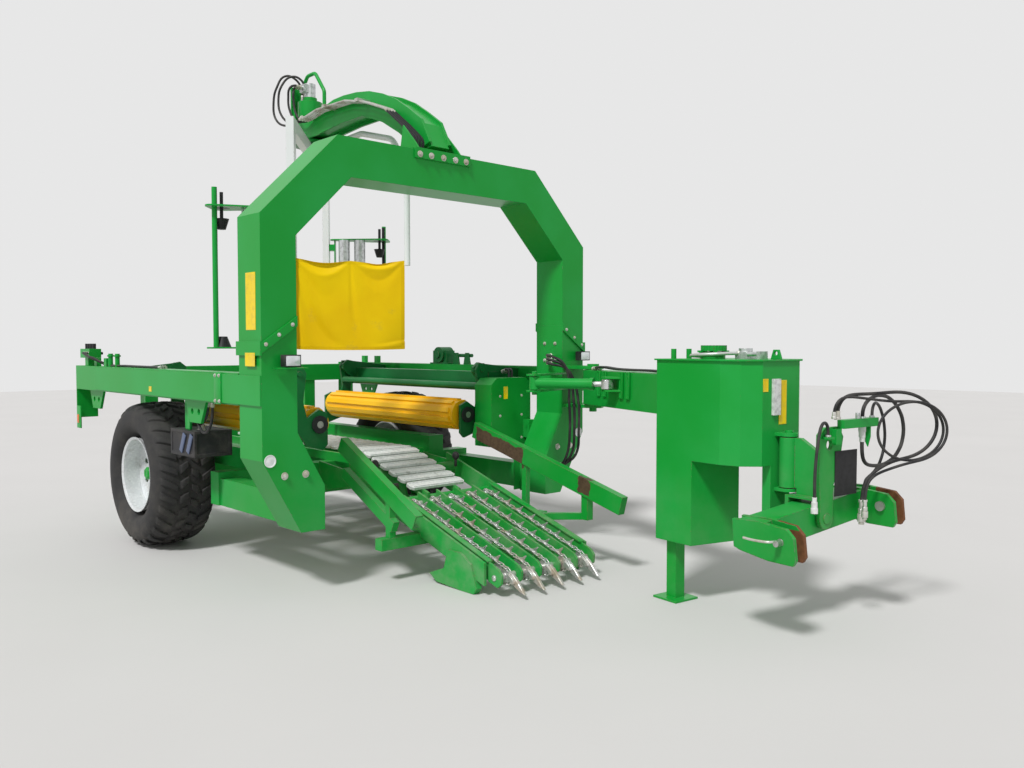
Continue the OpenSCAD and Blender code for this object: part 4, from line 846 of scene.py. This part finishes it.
def lampShape(width, height):
    # crowned pane with upright ribs
    pane = begin("grid", x_subdivisions=lampPane["columns"], y_subdivisions=lampPane["rows"], size=1)
    pane.scale = (width, height, 1)
    applyPlace()
    for knot in pane.data.vertices:
        across, up = knot.co.x / width, knot.co.y / height
        crown = (1 - 4 * across * across) * (1 - 4 * up * up)
        knot.co.z = lampPane["crown"] * crown + lampPane["ribHigh"] * math.cos(across * lampPane["ribs"])
    apply(pane, "SOLIDIFY", {"thickness": lampPane["thick"], "offset": -1})
    return pane


zincBolt = wornSteel("zincBolt", (0.66, 0.66, 0.62), (0.45, 0.42, 0.34), 0.75, 0.3)
tagYellow = plainGloss("tagYellow", (0.86, 0.62, 0.0), 0.3, 0, 0.3)
reflectorWhite = plainGloss("reflectorWhite", (0.82, 0.84, 0.84), 0.15, 0, 0.6, 900)
reflectorOrange = plainGloss("reflectorOrange", (0.85, 0.17, 0.005), 0.2, 0, 0.6, 900)
lampGlass = plainGloss("lampGlass", (0.75, 0.78, 0.8), 0.08, 0.35, 0.6, 500)
lidStripe = plainGloss("lidStripe", (0.1, 0.13, 0.22), 0.4, 0, 0.2)

wheelNuts = {"count": 8, "circle": 0.1, "out": 1.205}


def nutCircle(side, normal):
    spots = []
    for step in range(wheelNuts["count"]):
        turn = math.tau * step / wheelNuts["count"]
        along, up = wheelNuts["circle"] * math.cos(turn), wheelNuts["circle"] * math.sin(turn)
        spots.append(((machine["wheelX"] + along, side * wheelNuts["out"], machine["wheelZ"] + up), normal))
    return spots


boltSets = {
    # name: (radius, body, spots)
    "boom_flange_bolts": (0.016, "chassis", [((0.344, y, 2.967), front)
                                             for y in (-0.24, -0.14, -0.03, 0.08, 0.18)]),
    "leg_joint_bolts": (0.011, "chassis", [((x, y, z), normal)
                                           for y, normal in ((1.2149, towards), (-1.2149, away))
                                           for x in (0.125, 0.245) for z in (1.5, 1.64)]),
    "leg_strap_bolts": (0.009, "chassis", [((0.3441, side * y, z), front) for side in (-1, 1)
                                           for y, z in ((1.435, 1.63), (1.345, 1.69), (1.25, 1.755))]),
    "leg_bolts": (0.017, "chassis", [((0.3301, side * y, 0.797), front)
                                     for side in (-1, 1) for y in (1.16, 1.31)]),
    "cover_box_bolts": (0.008, "chassis", [((0.0301, y, z), front)
                                           for y in (0.8, 1.04) for z in (0.86, 1.05, 1.21)]),
    "beam_clamp_bolts": (0.009, "chassis", [((x, -1.4795, z), towards) for x in (-0.285, -0.225)
                                            for z in (1.255, 1.425)]),
    "wheel_nuts": (0.014, "wheel_right", nutCircle(-1, towards)),
    "wheel_nuts_left": (0.014, "wheel_left", nutCircle(1, away)),
}
for name, (radius, body, spots) in boltSets.items():
    settle(stamp(boltShape(radius), [(Vector(place), normal) for place, normal in spots]),
           name, zincBolt, body, 30)

frontOfTower = tower.to_3x3() @ front
signs = {
    # name: (shape, place, normal, finish, body)
    "arch_tag": (tagShape(0.13, 0.36), (0.2, -1.4612, 1.9), towards, tagYellow, "chassis"),
    "leg_tag": (tagShape(0.13, 0.085), (0.21, -1.4752, 1.535), towards, tagYellow, "chassis"),
    "cover_tag": (tagShape(0.044, 0.1), (0.0302, 0.86, 1.237), front, tagYellow, "chassis"),
    "beam_tag": (tagShape(0.05, 0.04), (-1.42, -1.4732, 1.294), towards, tagYellow, "chassis"),
    "leg_reflector_right": (discShape(0.04, 0.008), (0.3302, -1.41, 0.9), front, reflectorWhite, "chassis"),
    "leg_reflector_left": (discShape(0.04, 0.008), (0.3302, 1.41, 0.9), front, reflectorWhite, "chassis"),
    "lamp_glass_right": (lampShape(0.098, 0.062), (0.4102, -1.286, 1.5275), front, lampGlass, "chassis"),
    "lamp_glass_left": (lampShape(0.098, 0.062), (0.4102, 1.406, 1.5375), front, lampGlass, "chassis"),
    "gauge_tag": (tagShape(0.07, 0.262), tower @ Vector((0.3605, 0.0135, 1.287)), frontOfTower,
                  tagYellow, "drawbar"),
    "tank_tag": (tagShape(0.046, 0.076), tower @ Vector((0.3605, -0.144, 1.39)), frontOfTower,
                 tagYellow, "drawbar"),
}
for name, (shape, place, normal, finish, body) in signs.items():
    settle(stamp(shape, [(Vector(place), normal)]), name, finish, body)
print("fittings placed")

# hydraulic lines that are fixed at both ends

lines = {
    # from the pipes on the boom up to the motor
    "boom_line": {"across": 0.019, "body": "chassis", "routes": [
        [(-1.325, -0.131, 3.53), (-1.37, -0.134, 3.522), (-1.44, -0.15, 3.53), (-1.5, -0.165, 3.6),
         (-1.53, -0.17, 3.7), (-1.55, -0.16, 3.8), (-1.568, -0.13, 3.845), (-1.568, -0.104, 3.845)],
        [(-1.325, -0.157, 3.53), (-1.38, -0.16, 3.518), (-1.47, -0.18, 3.53), (-1.54, -0.2, 3.62),
         (-1.56, -0.205, 3.74), (-1.55, -0.19, 3.83), (-1.534, -0.15, 3.85), (-1.532, -0.104, 3.845)],
        [(-1.325, -0.183, 3.53), (-1.39, -0.186, 3.514), (-1.52, -0.2, 3.52), (-1.64, -0.225, 3.6),
         (-1.695, -0.225, 3.74), (-1.69, -0.19, 3.88), (-1.65, -0.12, 3.955), (-1.6, -0.06, 3.93),
         (-1.585, -0.03, 3.86), (-1.585, -0.025, 3.8)],
        [(-1.325, -0.209, 3.53), (-1.4, -0.212, 3.51), (-1.56, -0.23, 3.5), (-1.7, -0.25, 3.58),
         (-1.735, -0.25, 3.72), (-1.73, -0.22, 3.86), (-1.7, -0.15, 3.965), (-1.655, -0.08, 3.94),
         (-1.625, -0.04, 3.86), (-1.61, -0.035, 3.76)]]},
    # out of the left leg and round the drawbar pivot
    "pivot_line": {"across": 0.022, "body": "chassis", "routes": [
        [(0.2, 1.2145, 1.54 - 0.03 * turn), (0.2, 1.19, 1.54 - 0.03 * turn), (0.25, 1.12, 1.545 - 0.03 * turn),
         (0.36, 1.08, 1.53 - 0.03 * turn), (0.44, 1.1 + 0.01 * turn, 1.49 - 0.02 * turn),
         (0.47, 1.14 + 0.02 * turn, 1.38), (0.45 + 0.03 * turn, 1.17 + 0.02 * turn, 1.2),
         (0.46 + 0.03 * turn, 1.17 + 0.02 * turn, 0.95), (0.44 + 0.03 * turn, 1.16 + 0.02 * turn, 0.75),
         (0.39, 1.15 + 0.02 * turn, 0.66), (0.36, 1.15 + 0.02 * turn, 0.645),
         (0.3301, 1.15 + 0.02 * turn, 0.645)] for turn in range(3)]},
    # in front of the right wheel, from the beam down to the black case
    "wheel_line": {"across": 0.02, "body": "chassis", "routes": [
        [(-0.6, -1.385, 1.235), (-0.602, -1.386, 1.2), (-0.625, -1.392, 1.12), (-0.7, -1.396, 1.075),
         (-0.78, -1.385, 1.085), (-0.815, -1.35, 1.06), (-0.82, -1.335, 1.03), (-0.82, -1.33, 1.01)],
        [(-0.53, -1.385, 1.235), (-0.532, -1.386, 1.19), (-0.555, -1.394, 1.06), (-0.64, -1.4, 1.01),
         (-0.74, -1.4, 1.07), (-0.84, -1.37, 1.1), (-0.88, -1.33, 1.06), (-0.885, -1.32, 1.01)]]},
    # out of the valve block and over the rear of the right beam
    "valve_line": {"across": 0.016, "body": "chassis", "routes": [
        [(-3.02 + 0.05 * turn, -1.42, 1.555), (-3.0 + 0.05 * turn, -1.455, 1.56),
         (-2.93 + 0.05 * turn, -1.47, 1.55 - 0.01 * turn), (-2.83 + 0.04 * turn, -1.455, 1.52),
         (-2.72 + 0.03 * turn, -1.42, 1.485), (-2.62, -1.4 + 0.018 * turn, 1.462),
         (-2.2, -1.4 + 0.018 * turn, 1.456), (-1.4, -1.4 + 0.018 * turn, 1.456)] for turn in range(3)]},
    # from the left roller beam down to its frame
    "roller_line": {"across": 0.02, "body": "chassis", "routes": [
        [(-0.27, 1.1 + 0.035 * turn, 1.4), (-0.2, 1.09 + 0.035 * turn, 1.42),
         (-0.15, 1.06 + 0.035 * turn, 1.36), (-0.16, 1.03 + 0.035 * turn, 1.22),
         (-0.18, 1.02 + 0.03 * turn, 1.08),
         (-0.17, 1.02 + 0.03 * turn, 0.95), (-0.2, 1.02 + 0.03 * turn, 0.84)] for turn in range(2)]},
    # on top of the drawbar, from its pivot to the tower
    "drawbar_line": {"across": 0.018, "body": "drawbar", "routes": [
        [(0.66, 1.27 - 0.022 * turn, 1.44), (0.72, 1.25 - 0.022 * turn, 1.452),
         (1.0, 1.155 - 0.022 * turn, 1.444), (1.4, 1.015 - 0.022 * turn, 1.444),
         (1.8, 0.875 - 0.022 * turn, 1.446), (1.88, 0.85 - 0.022 * turn, 1.46)] for turn in range(3)]},
    # braided, round the filler neck
    "filler_line": {"across": 0.022, "body": "drawbar", "routes": [
        [tower @ Vector(place) for place in (
            (-0.205, -0.02, 1.552), (-0.21, -0.1, 1.556), (-0.17, -0.2, 1.56), (-0.08, -0.225, 1.566),
            (0.01, -0.19, 1.57), (0.05, -0.12, 1.574), (0.08, -0.05, 1.576), (0.1, -0.02, 1.58))]]},
}


def fixedLine(name, points, across):
    piece, line = bentLine(name, points, across, 3)
    only(piece)
    bpy.ops.object.convert(target="MESH")
    ends = [(Vector(place), Vector(then) - Vector(place))
            for place, then in ((points[0], points[1]), (points[-1], points[-2]))]
    return bpy.context.object, ends


def ferruleShape(across):
    # crimped sleeve on a hexagon nut
    nut = rod(6, across * 0.95, across * 0.8, (0, 0, across * 0.4))
    bevel(nut, across * 0.06, 1)
    sleeve = rod(16, across * 0.72, across * 1.8, (0, 0, across * 1.6))
    editFaces(sleeve, wallFaces)
    bpy.ops.mesh.subdivide(number_cuts=1)
    leaveEdit()
    bevel(sleeve, across * 0.1)
    return join([nut, sleeve])


def couplerShape(across):
    # quick coupler at the end of a hose: hexagon, sleeve and plug, standing along +Z
    parts = [ferruleShape(across)]
    for start, length, radius, sides in ((2.5, 1.6, 0.95, 6), (4.1, 2.2, 1.15, 20), (6.3, 0.8, 0.8, 20)):
        part = rod(sides, across * radius, across * length, (0, 0, across * (start + length / 2)))
        press(part, endFaces, (across * 0.12, 0), (across * 0.05, across * -0.08))
        bevel(part, across * 0.08)
        parts.append(part)
    return join(parts)


braid = wornSteel("braidSteel", (0.62, 0.63, 0.62), (0.4, 0.39, 0.36), 0.7, 0.35)
for name, line in lines.items():
    tubes, ends = [], []
    for place, route in enumerate(line["routes"]):
        tube, tubeEnds = fixedLine(f"{name}_{place}", route, line["across"])
        tubes.append(tube)
        ends += tubeEnds
    settle(join(tubes), name, braid if name == "filler_line" else hoseFinish, line["body"], 60)
    settle(stamp(ferruleShape(line["across"]), ends), name + "_ends", zincBolt, line["body"], 30)
for name, (piece, line) in looped.items():
    across, points = loops[name]["across"], routes[name]
    gland = stamp(ferruleShape(across), [(Vector(points[0]) - upwards * across * 1.2, upwards)])
    coupler = stamp(couplerShape(across), [(Vector(points[-1]) + upwards * across * 1.5, -upwards)])
    companions = [settle(gland, name + "_gland", zincBolt, "headstock", 30),
                  settle(coupler, name + "_coupler", zincBolt, "headstock", 30)]
print("hydraulic lines laid")

# tyres with rounded shoulders and chevron lugs, in place of the plain ones

tyreShape = {
    "middle": 0.4275,    # radius at the middle of the side wall
    "deep": 0.135,       # half height of the section
    "halfWidth": 0.246,
    "waist": 0.045,      # how much narrower it is at the rim
    # powers of the section: smaller is squarer
    "tread": 0.56,
    "bead": 0.8,
    "wall": 0.7,
    "lugs": 30,
    "lugHigh": 0.025,
    "lugSunk": 0.006,
    "lugEdge": 0.0025,
    "treadMean": 0.56,   # radius at which the breadth of a lug is measured
    "taper": (0.8, 0.35, 0.86),   # breadth of a lug at its near end, its growth, and the share at its top
    "bend": (0.8, 0.32),          # share of a lug from which it drops with the shoulder, and how steeply
    "fade": (0.75, 0.5),          # share from which its height fades, and by how much at its end
    # rows, near and far end across the tread, lean, breadth, turn
    "long": (10, 0.098, 0.24, 0.13, 0.058, 0),
    "short": (5, 0.012, 0.088, -0.09, 0.062, 0.11),
}


def treadRadius(across):
    # radius of the carcass at a distance from the middle of the tread
    share = min(1, abs(across) / tyreShape["halfWidth"]) ** (1 / tyreShape["wall"])
    return tyreShape["middle"] + tyreShape["deep"] * max(0, 1 - share * share) ** (tyreShape["tread"] / 2)


def carcass():
    deep, middle = tyreShape["deep"], tyreShape["middle"]
    body = begin("torus", major_radius=middle, minor_radius=deep, major_segments=112, minor_segments=32)
    for knot in body.data.vertices:
        radius = math.hypot(knot.co.x, knot.co.y)
        out, side = (radius - middle) / deep, knot.co.z / deep
        wide, power = tyreShape["halfWidth"], tyreShape["tread"]
        if out <= 0:
            wide, power = wide - tyreShape["waist"] * out * out, tyreShape["bead"]
        place = middle + math.copysign(deep * abs(out) ** power, out)
        knot.co.x *= place / radius
        knot.co.y *= place / radius
        knot.co.z = math.copysign(wide * abs(side) ** tyreShape["wall"], side)
    return body


def lugShape(rows, near, far, lean, broad, side):
    # one lug laid on the tread from near to far, leaning round the wheel
    lug = begin("grid", x_subdivisions=rows, y_subdivisions=2, size=1)
    apply(lug, "SOLIDIFY", {"thickness": 1, "offset": 1})
    narrow, growth, topShare = tyreShape["taper"]
    bendFrom, drop = tyreShape["bend"]
    fadeFrom, loss = tyreShape["fade"]
    for knot in lug.data.vertices:
        along = knot.co.x + 0.5
        across = near + (far - near) * along
        breadth = broad * (narrow + growth * along)
        radius = treadRadius(across) - max(0, along - bendFrom) * drop - tyreShape["lugSunk"]
        if knot.co.z > 0.5:
            radius += tyreShape["lugHigh"] * (1 - loss * max(0, along - fadeFrom) / (1 - fadeFrom))
            breadth *= topShare
        angle = lean * along + knot.co.y * breadth / tyreShape["treadMean"]
        knot.co = (radius * math.cos(angle), radius * math.sin(angle), side * across)
    outward(lug)
    bevel(lug, tyreShape["lugEdge"], 1)
    return lug


def makeTyre(name, side, body):
    step = math.tau / tyreShape["lugs"]
    parts = [carcass()]
    for half, shift in ((-1, 0), (1, step / 2)):
        for kind in ("long", "short"):
            *shape, start = tyreShape[kind]
            turns = [shift + start + step * turn for turn in range(tyreShape["lugs"])]
            parts.append(spread(lugShape(*shape, half), [Matrix.Rotation(turn, 4, "Z") for turn in turns]))
    piece = join(parts)
    piece.rotation_euler = (math.radians(90), 0, 0)
    piece.location = (machine["wheelX"], side * machine["wheelY"], machine["wheelZ"])
    settle(piece, name, tyre, body)
    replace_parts(piece, "tyre_" + body.split("_")[1])


makeTyre("tyre_right_lugged", -1, "wheel_right")
makeTyre("tyre_left_lugged", 1, "wheel_left")
print("tyres made")

# round-link chains with tine plates, in place of the plain ones

chain = {
    "middle": 0.16,
    "apart": 0.175,
    "slope": math.radians(17.85),
    "top": (0.18, 0.4989),    # upper end of the strand, as X and Z
    "nose": (1.186, 0.175),   # where the strand meets its turn
    "turn": 0.053,
    "head": 0.038,
    "pitch": 0.034,
    "wire": 0.0045,
    "linkRound": 0.0115,      # radius of the ends of a link, and half of what lies between them
    "linkHalf": 0.0125,
    "shaft": 0.02,
    "wheelThick": 0.014,
    "ribHigh": 0.006,
    "clear": 0.008,           # from a wheel to its chain
    "lift": 0.004,            # how much the lower strand is raised at the nose
    "toothAt": (-0.016, -0.05),
    "tineEvery": 4,
    # outlines as X and Z, with thickness and edge
    "tine": ([(-0.03, -0.006), (-0.026, 0.012), (0.0, 0.022), (0.03, 0.052), (0.036, 0.05), (0.024, 0.014),
              (0.022, -0.006)], 0.01, 0.0012),
    "foot": ([(-0.026, 0.0), (-0.02, 0.01), (0.016, 0.01), (0.022, 0.0)], 0.034, 0.002),
    "tooth": ([(0.02, 0.032), (0.074, 0.028), (0.13, -0.018), (0.196, -0.09), (0.15, -0.078), (0.096, -0.052),
               (0.03, -0.02)], 0.024, 0.003),
    "shoulder": ([(0.05, 0.022), (0.09, 0.004), (0.112, -0.03), (0.086, -0.04), (0.046, -0.006)],
                 0.052, 0.003),
}
chainDown = Vector((-math.sin(chain["slope"]), 0, -math.cos(chain["slope"])))
chainAlong = Vector((math.cos(chain["slope"]), 0, -math.sin(chain["slope"])))
quarterTurn = (math.radians(90), 0, 0)


def linkShape():
    link = begin("torus", major_radius=chain["linkRound"], minor_radius=chain["wire"],
                 major_segments=12, minor_segments=6)
    for knot in link.data.vertices:
        knot.co.x += math.copysign(chain["linkHalf"], knot.co.x)
    return link


def plateShape(outline, thick, edge):
    # an outline in X and Z, extruded across the machine
    plate = begin("circle", vertices=len(outline), radius=1, fill_type="NGON")
    for knot, (along, up) in zip(plate.data.vertices, outline):
        knot.co = (along, thick / 2, up)
    editFaces(plate, lambda face: True)
    bpy.ops.mesh.extrude_region_move(TRANSFORM_OT_translate={"value": (0, -thick, 0)})
    leaveEdit()
    outward(plate)
    bevel(plate, edge, 1)
    return plate


def chainPlaces(across):
    # places and slopes of the links along the upper strand, round the nose and back under it
    top, nose = (Vector((chain[end][0], across, chain[end][1])) for end in ("top", "nose"))
    length, slope = (nose - top).length, chain["slope"]
    count, bends = int(length / chain["pitch"]), int(math.pi * chain["turn"] / chain["pitch"])
    places = [(top + chainAlong * (step + 0.5) * length / count, slope) for step in range(count)]
    centre = nose + chainDown * chain["turn"]
    for step in range(bends):
        angle = (step + 0.5) * math.pi / bends
        spoke = Matrix.Rotation(angle, 3, "Y") @ -chainDown
        places.append((centre + spoke * chain["turn"], slope + angle))
    start = centre + chainDown * (chain["turn"] - chain["lift"])
    back = top + chainDown * 2 * chain["head"] - start
    places += [(start + back * (step + 0.5) / count, slope) for step in range(count)]
    return places, count


def makeChains():
    links, tines, teeth = [], [], []
    for row in range(-2, 3):
        across = chain["middle"] + row * chain["apart"]
        places, count = chainPlaces(across)
        for step, (place, pitch) in enumerate(places):
            stand = Matrix.Translation(place) @ Matrix.Rotation(pitch, 4, "Y")
            links.append(stand @ Matrix.Rotation(math.radians(90 * (step % 2)), 4, "X"))
            if step < count and step % chain["tineEvery"] == (1 if row % 2 else 3):
                tines.append(stand)
        along, up = (end + shift for end, shift in zip(chain["nose"], chain["toothAt"]))
        teeth.append(Matrix.Translation((along, across, up)))
    return [spread(linkShape(), links),
            spread(join([plateShape(*chain["tine"]), plateShape(*chain["foot"])]), tines),
            spread(join([plateShape(*chain["tooth"]), plateShape(*chain["shoulder"])]), teeth)]


def makeShafts():
    shafts = []
    for end, reach in (("top", chain["head"]), ("nose", chain["turn"])):
        place = Vector((chain[end][0], chain["middle"], chain[end][1])) + chainDown * reach
        length = 5 * chain["apart"] + 2 * chain["wheelThick"]
        bar = rod(32, chain["shaft"], length, place, rotation=quarterTurn)
        bevel(bar, 0.002)
        shafts.append(bar)
        for row in range(-2, 3):
            wheel = rod(18, reach - chain["clear"], chain["wheelThick"], place + away * row * chain["apart"],
                        rotation=quarterTurn)
            editFaces(wheel, everyOtherWall)
            bpy.ops.mesh.extrude_faces_move(TRANSFORM_OT_shrink_fatten={"value": chain["ribHigh"]})
            leaveEdit()
            shafts.append(wheel)
    return shafts


chainBright = wornSteel("chainLinks", (0.66, 0.67, 0.66), (0.36, 0.3, 0.22), 0.75, 0.26)
chains = settle(join([join(makeChains()), join(makeShafts())]), "pickup_chain_links", chainBright, "ramp")
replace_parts(chains, "pickup_chains")
print("chains made")

# fittings on the frame, drawbar, hitch and wheels

cooler = {
    "low": Vector((-1.18, -1.421, 0.82)),
    "high": Vector((-0.76, -1.135, 1.01)),
    "lid": [(0.022, 0), (0.004, -0.006)],
    "corner": 0.024,
    "hanger": {"place": (-0.97, -1.371, 1.124), "size": (0.08, 0.02, 0.228),
               "steps": [(0.012, 0), (0.003, -0.003)], "edge": 0.003},
    "stripe": {"size": (0.05, 0.006, 0.15), "steps": [(0.005, 0.003)], "edge": 0.0012,
               "turn": (0, math.radians(28), 0)},
    "stripesAt": [(-0.965, -1.42, 0.915), (-0.845, -1.42, 0.915)],
}


def coolerBox():
    # rounded black case on a green hanger, with two slanted stripes on its lid
    case = slab((cooler["low"] + cooler["high"]) / 2, cooler["high"] - cooler["low"])
    press(case, looking(towards), *cooler["lid"])
    press(case, looking(front), *cooler["lid"])
    bevel(case, cooler["corner"], 4)
    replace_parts(settle(case, "cooler_case", blackPlastic, "chassis"), "black_box")
    settle(pressedBar(**cooler["hanger"]), "cooler_hanger", green, "chassis")
    stripes = [pressedBar(place, **cooler["stripe"]) for place in cooler["stripesAt"]]
    settle(join(stripes), "cooler_stripes", lidStripe, "chassis")


coolerBox()


def lippedBar(name, test, place, size, lip, edge, rims=()):
    # a flat bar that is drawn out by a lip at the faces that pass
    piece = slab(place, size)
    editFaces(piece, test)
    inset(*rims)
    bpy.ops.mesh.extrude_region_shrink_fatten(TRANSFORM_OT_shrink_fatten={"value": lip})
    leaveEdit()
    bevel(piece, edge)
    settle(piece, name, green, "chassis")


# a strap on the right beam, with a lip at each end
strap = {"place": (-0.255, -1.4762, 1.34), "size": (0.1, 0.0065, 0.19), "rims": [(0.00195, 0)], "lip": 0.012,
         "edge": 0.0013}
lippedBar("beam_strap", endFaces, **strap)

clamps = {
    "pivot": Vector((0.565, 1.33, 1.33)),
    "way": Vector((0.932, -0.363, 0)).normalized(),   # direction of the drawbar
    "reach": (0.3, 0.4, 0.66, 0.76),
    "out": 0.103,    # from the middle of the drawbar to its flank
    "bar": {"size": (0.05, 0.012, 0.2), "steps": [(0.01, 0), (0.003, -0.003)], "edge": 0.002},
}


def drawbarClamps():
    # pairs of hose clamps on the right flank of the drawbar, in its own direction
    way = clamps["way"]
    flank = clamps["pivot"] + Vector((way.y, -way.x, 0)) * clamps["out"]
    turn = (0, 0, math.atan2(way.y, way.x))
    bars = [pressedBar(flank + way * reach, **clamps["bar"], turn=turn) for reach in clamps["reach"]]
    settle(join(bars), "drawbar_clamps", green, "drawbar")


drawbarClamps()

handle = {
    "across": 0.014,
    # in the tower's frame
    "points": [(0.757, -0.548, 0.595), (0.757, -0.585, 0.596), (0.745, -0.602, 0.596), (0.71, -0.606, 0.594),
               (0.65, -0.606, 0.592), (0.59, -0.606, 0.594)],
}
grip, _ = fixedLine("pin_handle", [tower @ Vector(place) for place in handle["points"]], handle["across"])
settle(grip, "pin_handle", zincBolt, "hitch", 60)

hub = {"radius": 0.052, "deep": 0.05, "out": 0.095, "steps": [(0.008, 0.008), (0.016, 0), (0.002, -0.004)],
       "edge": 0.003}


def hubCap(name, side, body):
    # green hexagon cap in the middle of the rim
    place = (machine["wheelX"], side * (machine["wheelY"] + hub["out"]), machine["wheelZ"])
    cap = rod(6, hub["radius"], hub["deep"], place, rotation=quarterTurn)
    applyPlace()
    press(cap, looking(away * side), *hub["steps"])
    bevel(cap, hub["edge"])
    settle(cap, name, green, body)


hubCap("hub_cap_right", -1, "wheel_right")
hubCap("hub_cap_left", 1, "wheel_left")

# orange marker on a green tab at the rear of the right beam
tab = {"place": (-3.1, -1.4665, 0.985), "size": (0.1, 0.01, 0.2), "steps": [(0.012, 0.002)], "edge": 0.002}
marker = {"width": 0.035, "height": 0.075, "thick": 0.006}
markerAt = Vector((-3.1, -1.474, 0.97))
settle(pressedBar(**tab), "rear_tab", green, "chassis")
settle(stamp(tagShape(**marker), [(markerAt, towards)]), "rear_marker", reflectorOrange, "chassis")

knobs = {"radius": 0.034, "flat": 0.75, "places": [(-0.245, -0.235, 0.722), (-0.245, 0.555, 0.722)]}


def knob(place, radius):
    # rubber roller on a short pin, as beside the slats
    ball = begin("uv_sphere", segments=24, ring_count=14, radius=radius, location=place)
    for point in ball.data.vertices:
        point.co.y *= knobs["flat"]
    press(ball, lambda face: face.normal.y < -0.96, (radius * 0.1, -radius * 0.12))
    stem = rod(16, radius * 0.35, radius * 2.4, (place[0], place[1], place[2] - radius * 1.4))
    bevel(stem, radius * 0.06, 1)
    return join([ball, stem])


settle(join([knob(place, knobs["radius"]) for place in knobs["places"]]), "slat_knobs", blackPlastic,
       "ramp", 50)

filler = {"place": (-0.08, -0.1, 1.606), "radius": 0.08, "high": 0.036, "sides": 48, "groove": (0.0015, -0.003),
          "steps": [(0.014, 0), (0.004, -0.006)]}


def fillerCap():
    # ribbed screw cap over the filler neck on the lid of the tower
    cap = rod(filler["sides"], filler["radius"], filler["high"], filler["place"])
    editFaces(cap, everyOtherWall)
    thickness, depth = filler["groove"]
    bpy.ops.mesh.inset(thickness=thickness, depth=depth, use_individual=True)
    leaveEdit()
    press(cap, looking(upwards), *filler["steps"])
    cap.data.transform(tower)
    settle(cap, "filler_cap", green, "drawbar", 30)


fillerCap()

# a small shelf with a lip under the right lamp
shelf = {"place": (0.378, -1.286, 1.481), "size": (0.072, 0.2, 0.006), "lip": 0.006, "edge": 0.0012}
lippedBar("lamp_shelf", looking(front), **shelf)
print("fittings added")

# floor, backdrop and light

studio = {
    "floor": (0.62, 0.61, 0.6),
    "floorWide": 60,
    "floorAt": (0, 0, -0.001),
    "back": 1.0,
    "sunTurn": (math.radians(38), math.radians(-8), math.radians(30)),
    "sun": 2.6,
    "sunWide": math.radians(9),
    "sky": 0.55,
}


def studioFloor():
    floor = begin("plane", size=studio["floorWide"], location=studio["floorAt"])
    floor.name = "floor"
    ground = Finish("floorFinish")
    base = ground.blend(ground.noise(0.7, 3), studio["floor"], tuple(c * 0.94 for c in studio["floor"]))
    floor.data.materials.append(ground.finish(base, 0.85))


def studioLight():
    world = bpy.data.worlds.new("studio")
    bpy.context.scene.world = world
    world.use_nodes = True
    tree = world.node_tree
    light = tree.nodes["Background"]
    light.inputs["Color"].default_value = (1, 1, 1, 1)
    light.inputs["Strength"].default_value = studio["sky"]
    backdrop = tree.nodes.new("ShaderNodeBackground")
    backdrop.inputs["Strength"].default_value = studio["back"]
    rays = tree.nodes.new("ShaderNodeLightPath")
    mix = tree.nodes.new("ShaderNodeMixShader")
    seen = rays.outputs["Is Camera Ray"]
    for kind in ("Is Glossy Ray", "Is Transmission Ray"):
        either = tree.nodes.new("ShaderNodeMath")
        either.operation = "MAXIMUM"
        tree.links.new(seen, either.inputs[0])
        tree.links.new(rays.outputs[kind], either.inputs[1])
        seen = either.outputs[0]
    tree.links.new(seen, mix.inputs[0])
    tree.links.new(light.outputs[0], mix.inputs[1])
    tree.links.new(backdrop.outputs[0], mix.inputs[2])
    tree.links.new(mix.outputs[0], tree.nodes["World Output"].inputs[0])
    clearSelection()
    bpy.ops.object.light_add(type="SUN", rotation=studio["sunTurn"])
    sun = bpy.context.object
    sun.data.energy = studio["sun"]
    sun.data.angle = studio["sunWide"]


studioFloor()
studioLight()
bpy.context.scene.view_settings.view_transform = "Standard"
print("scene ready")
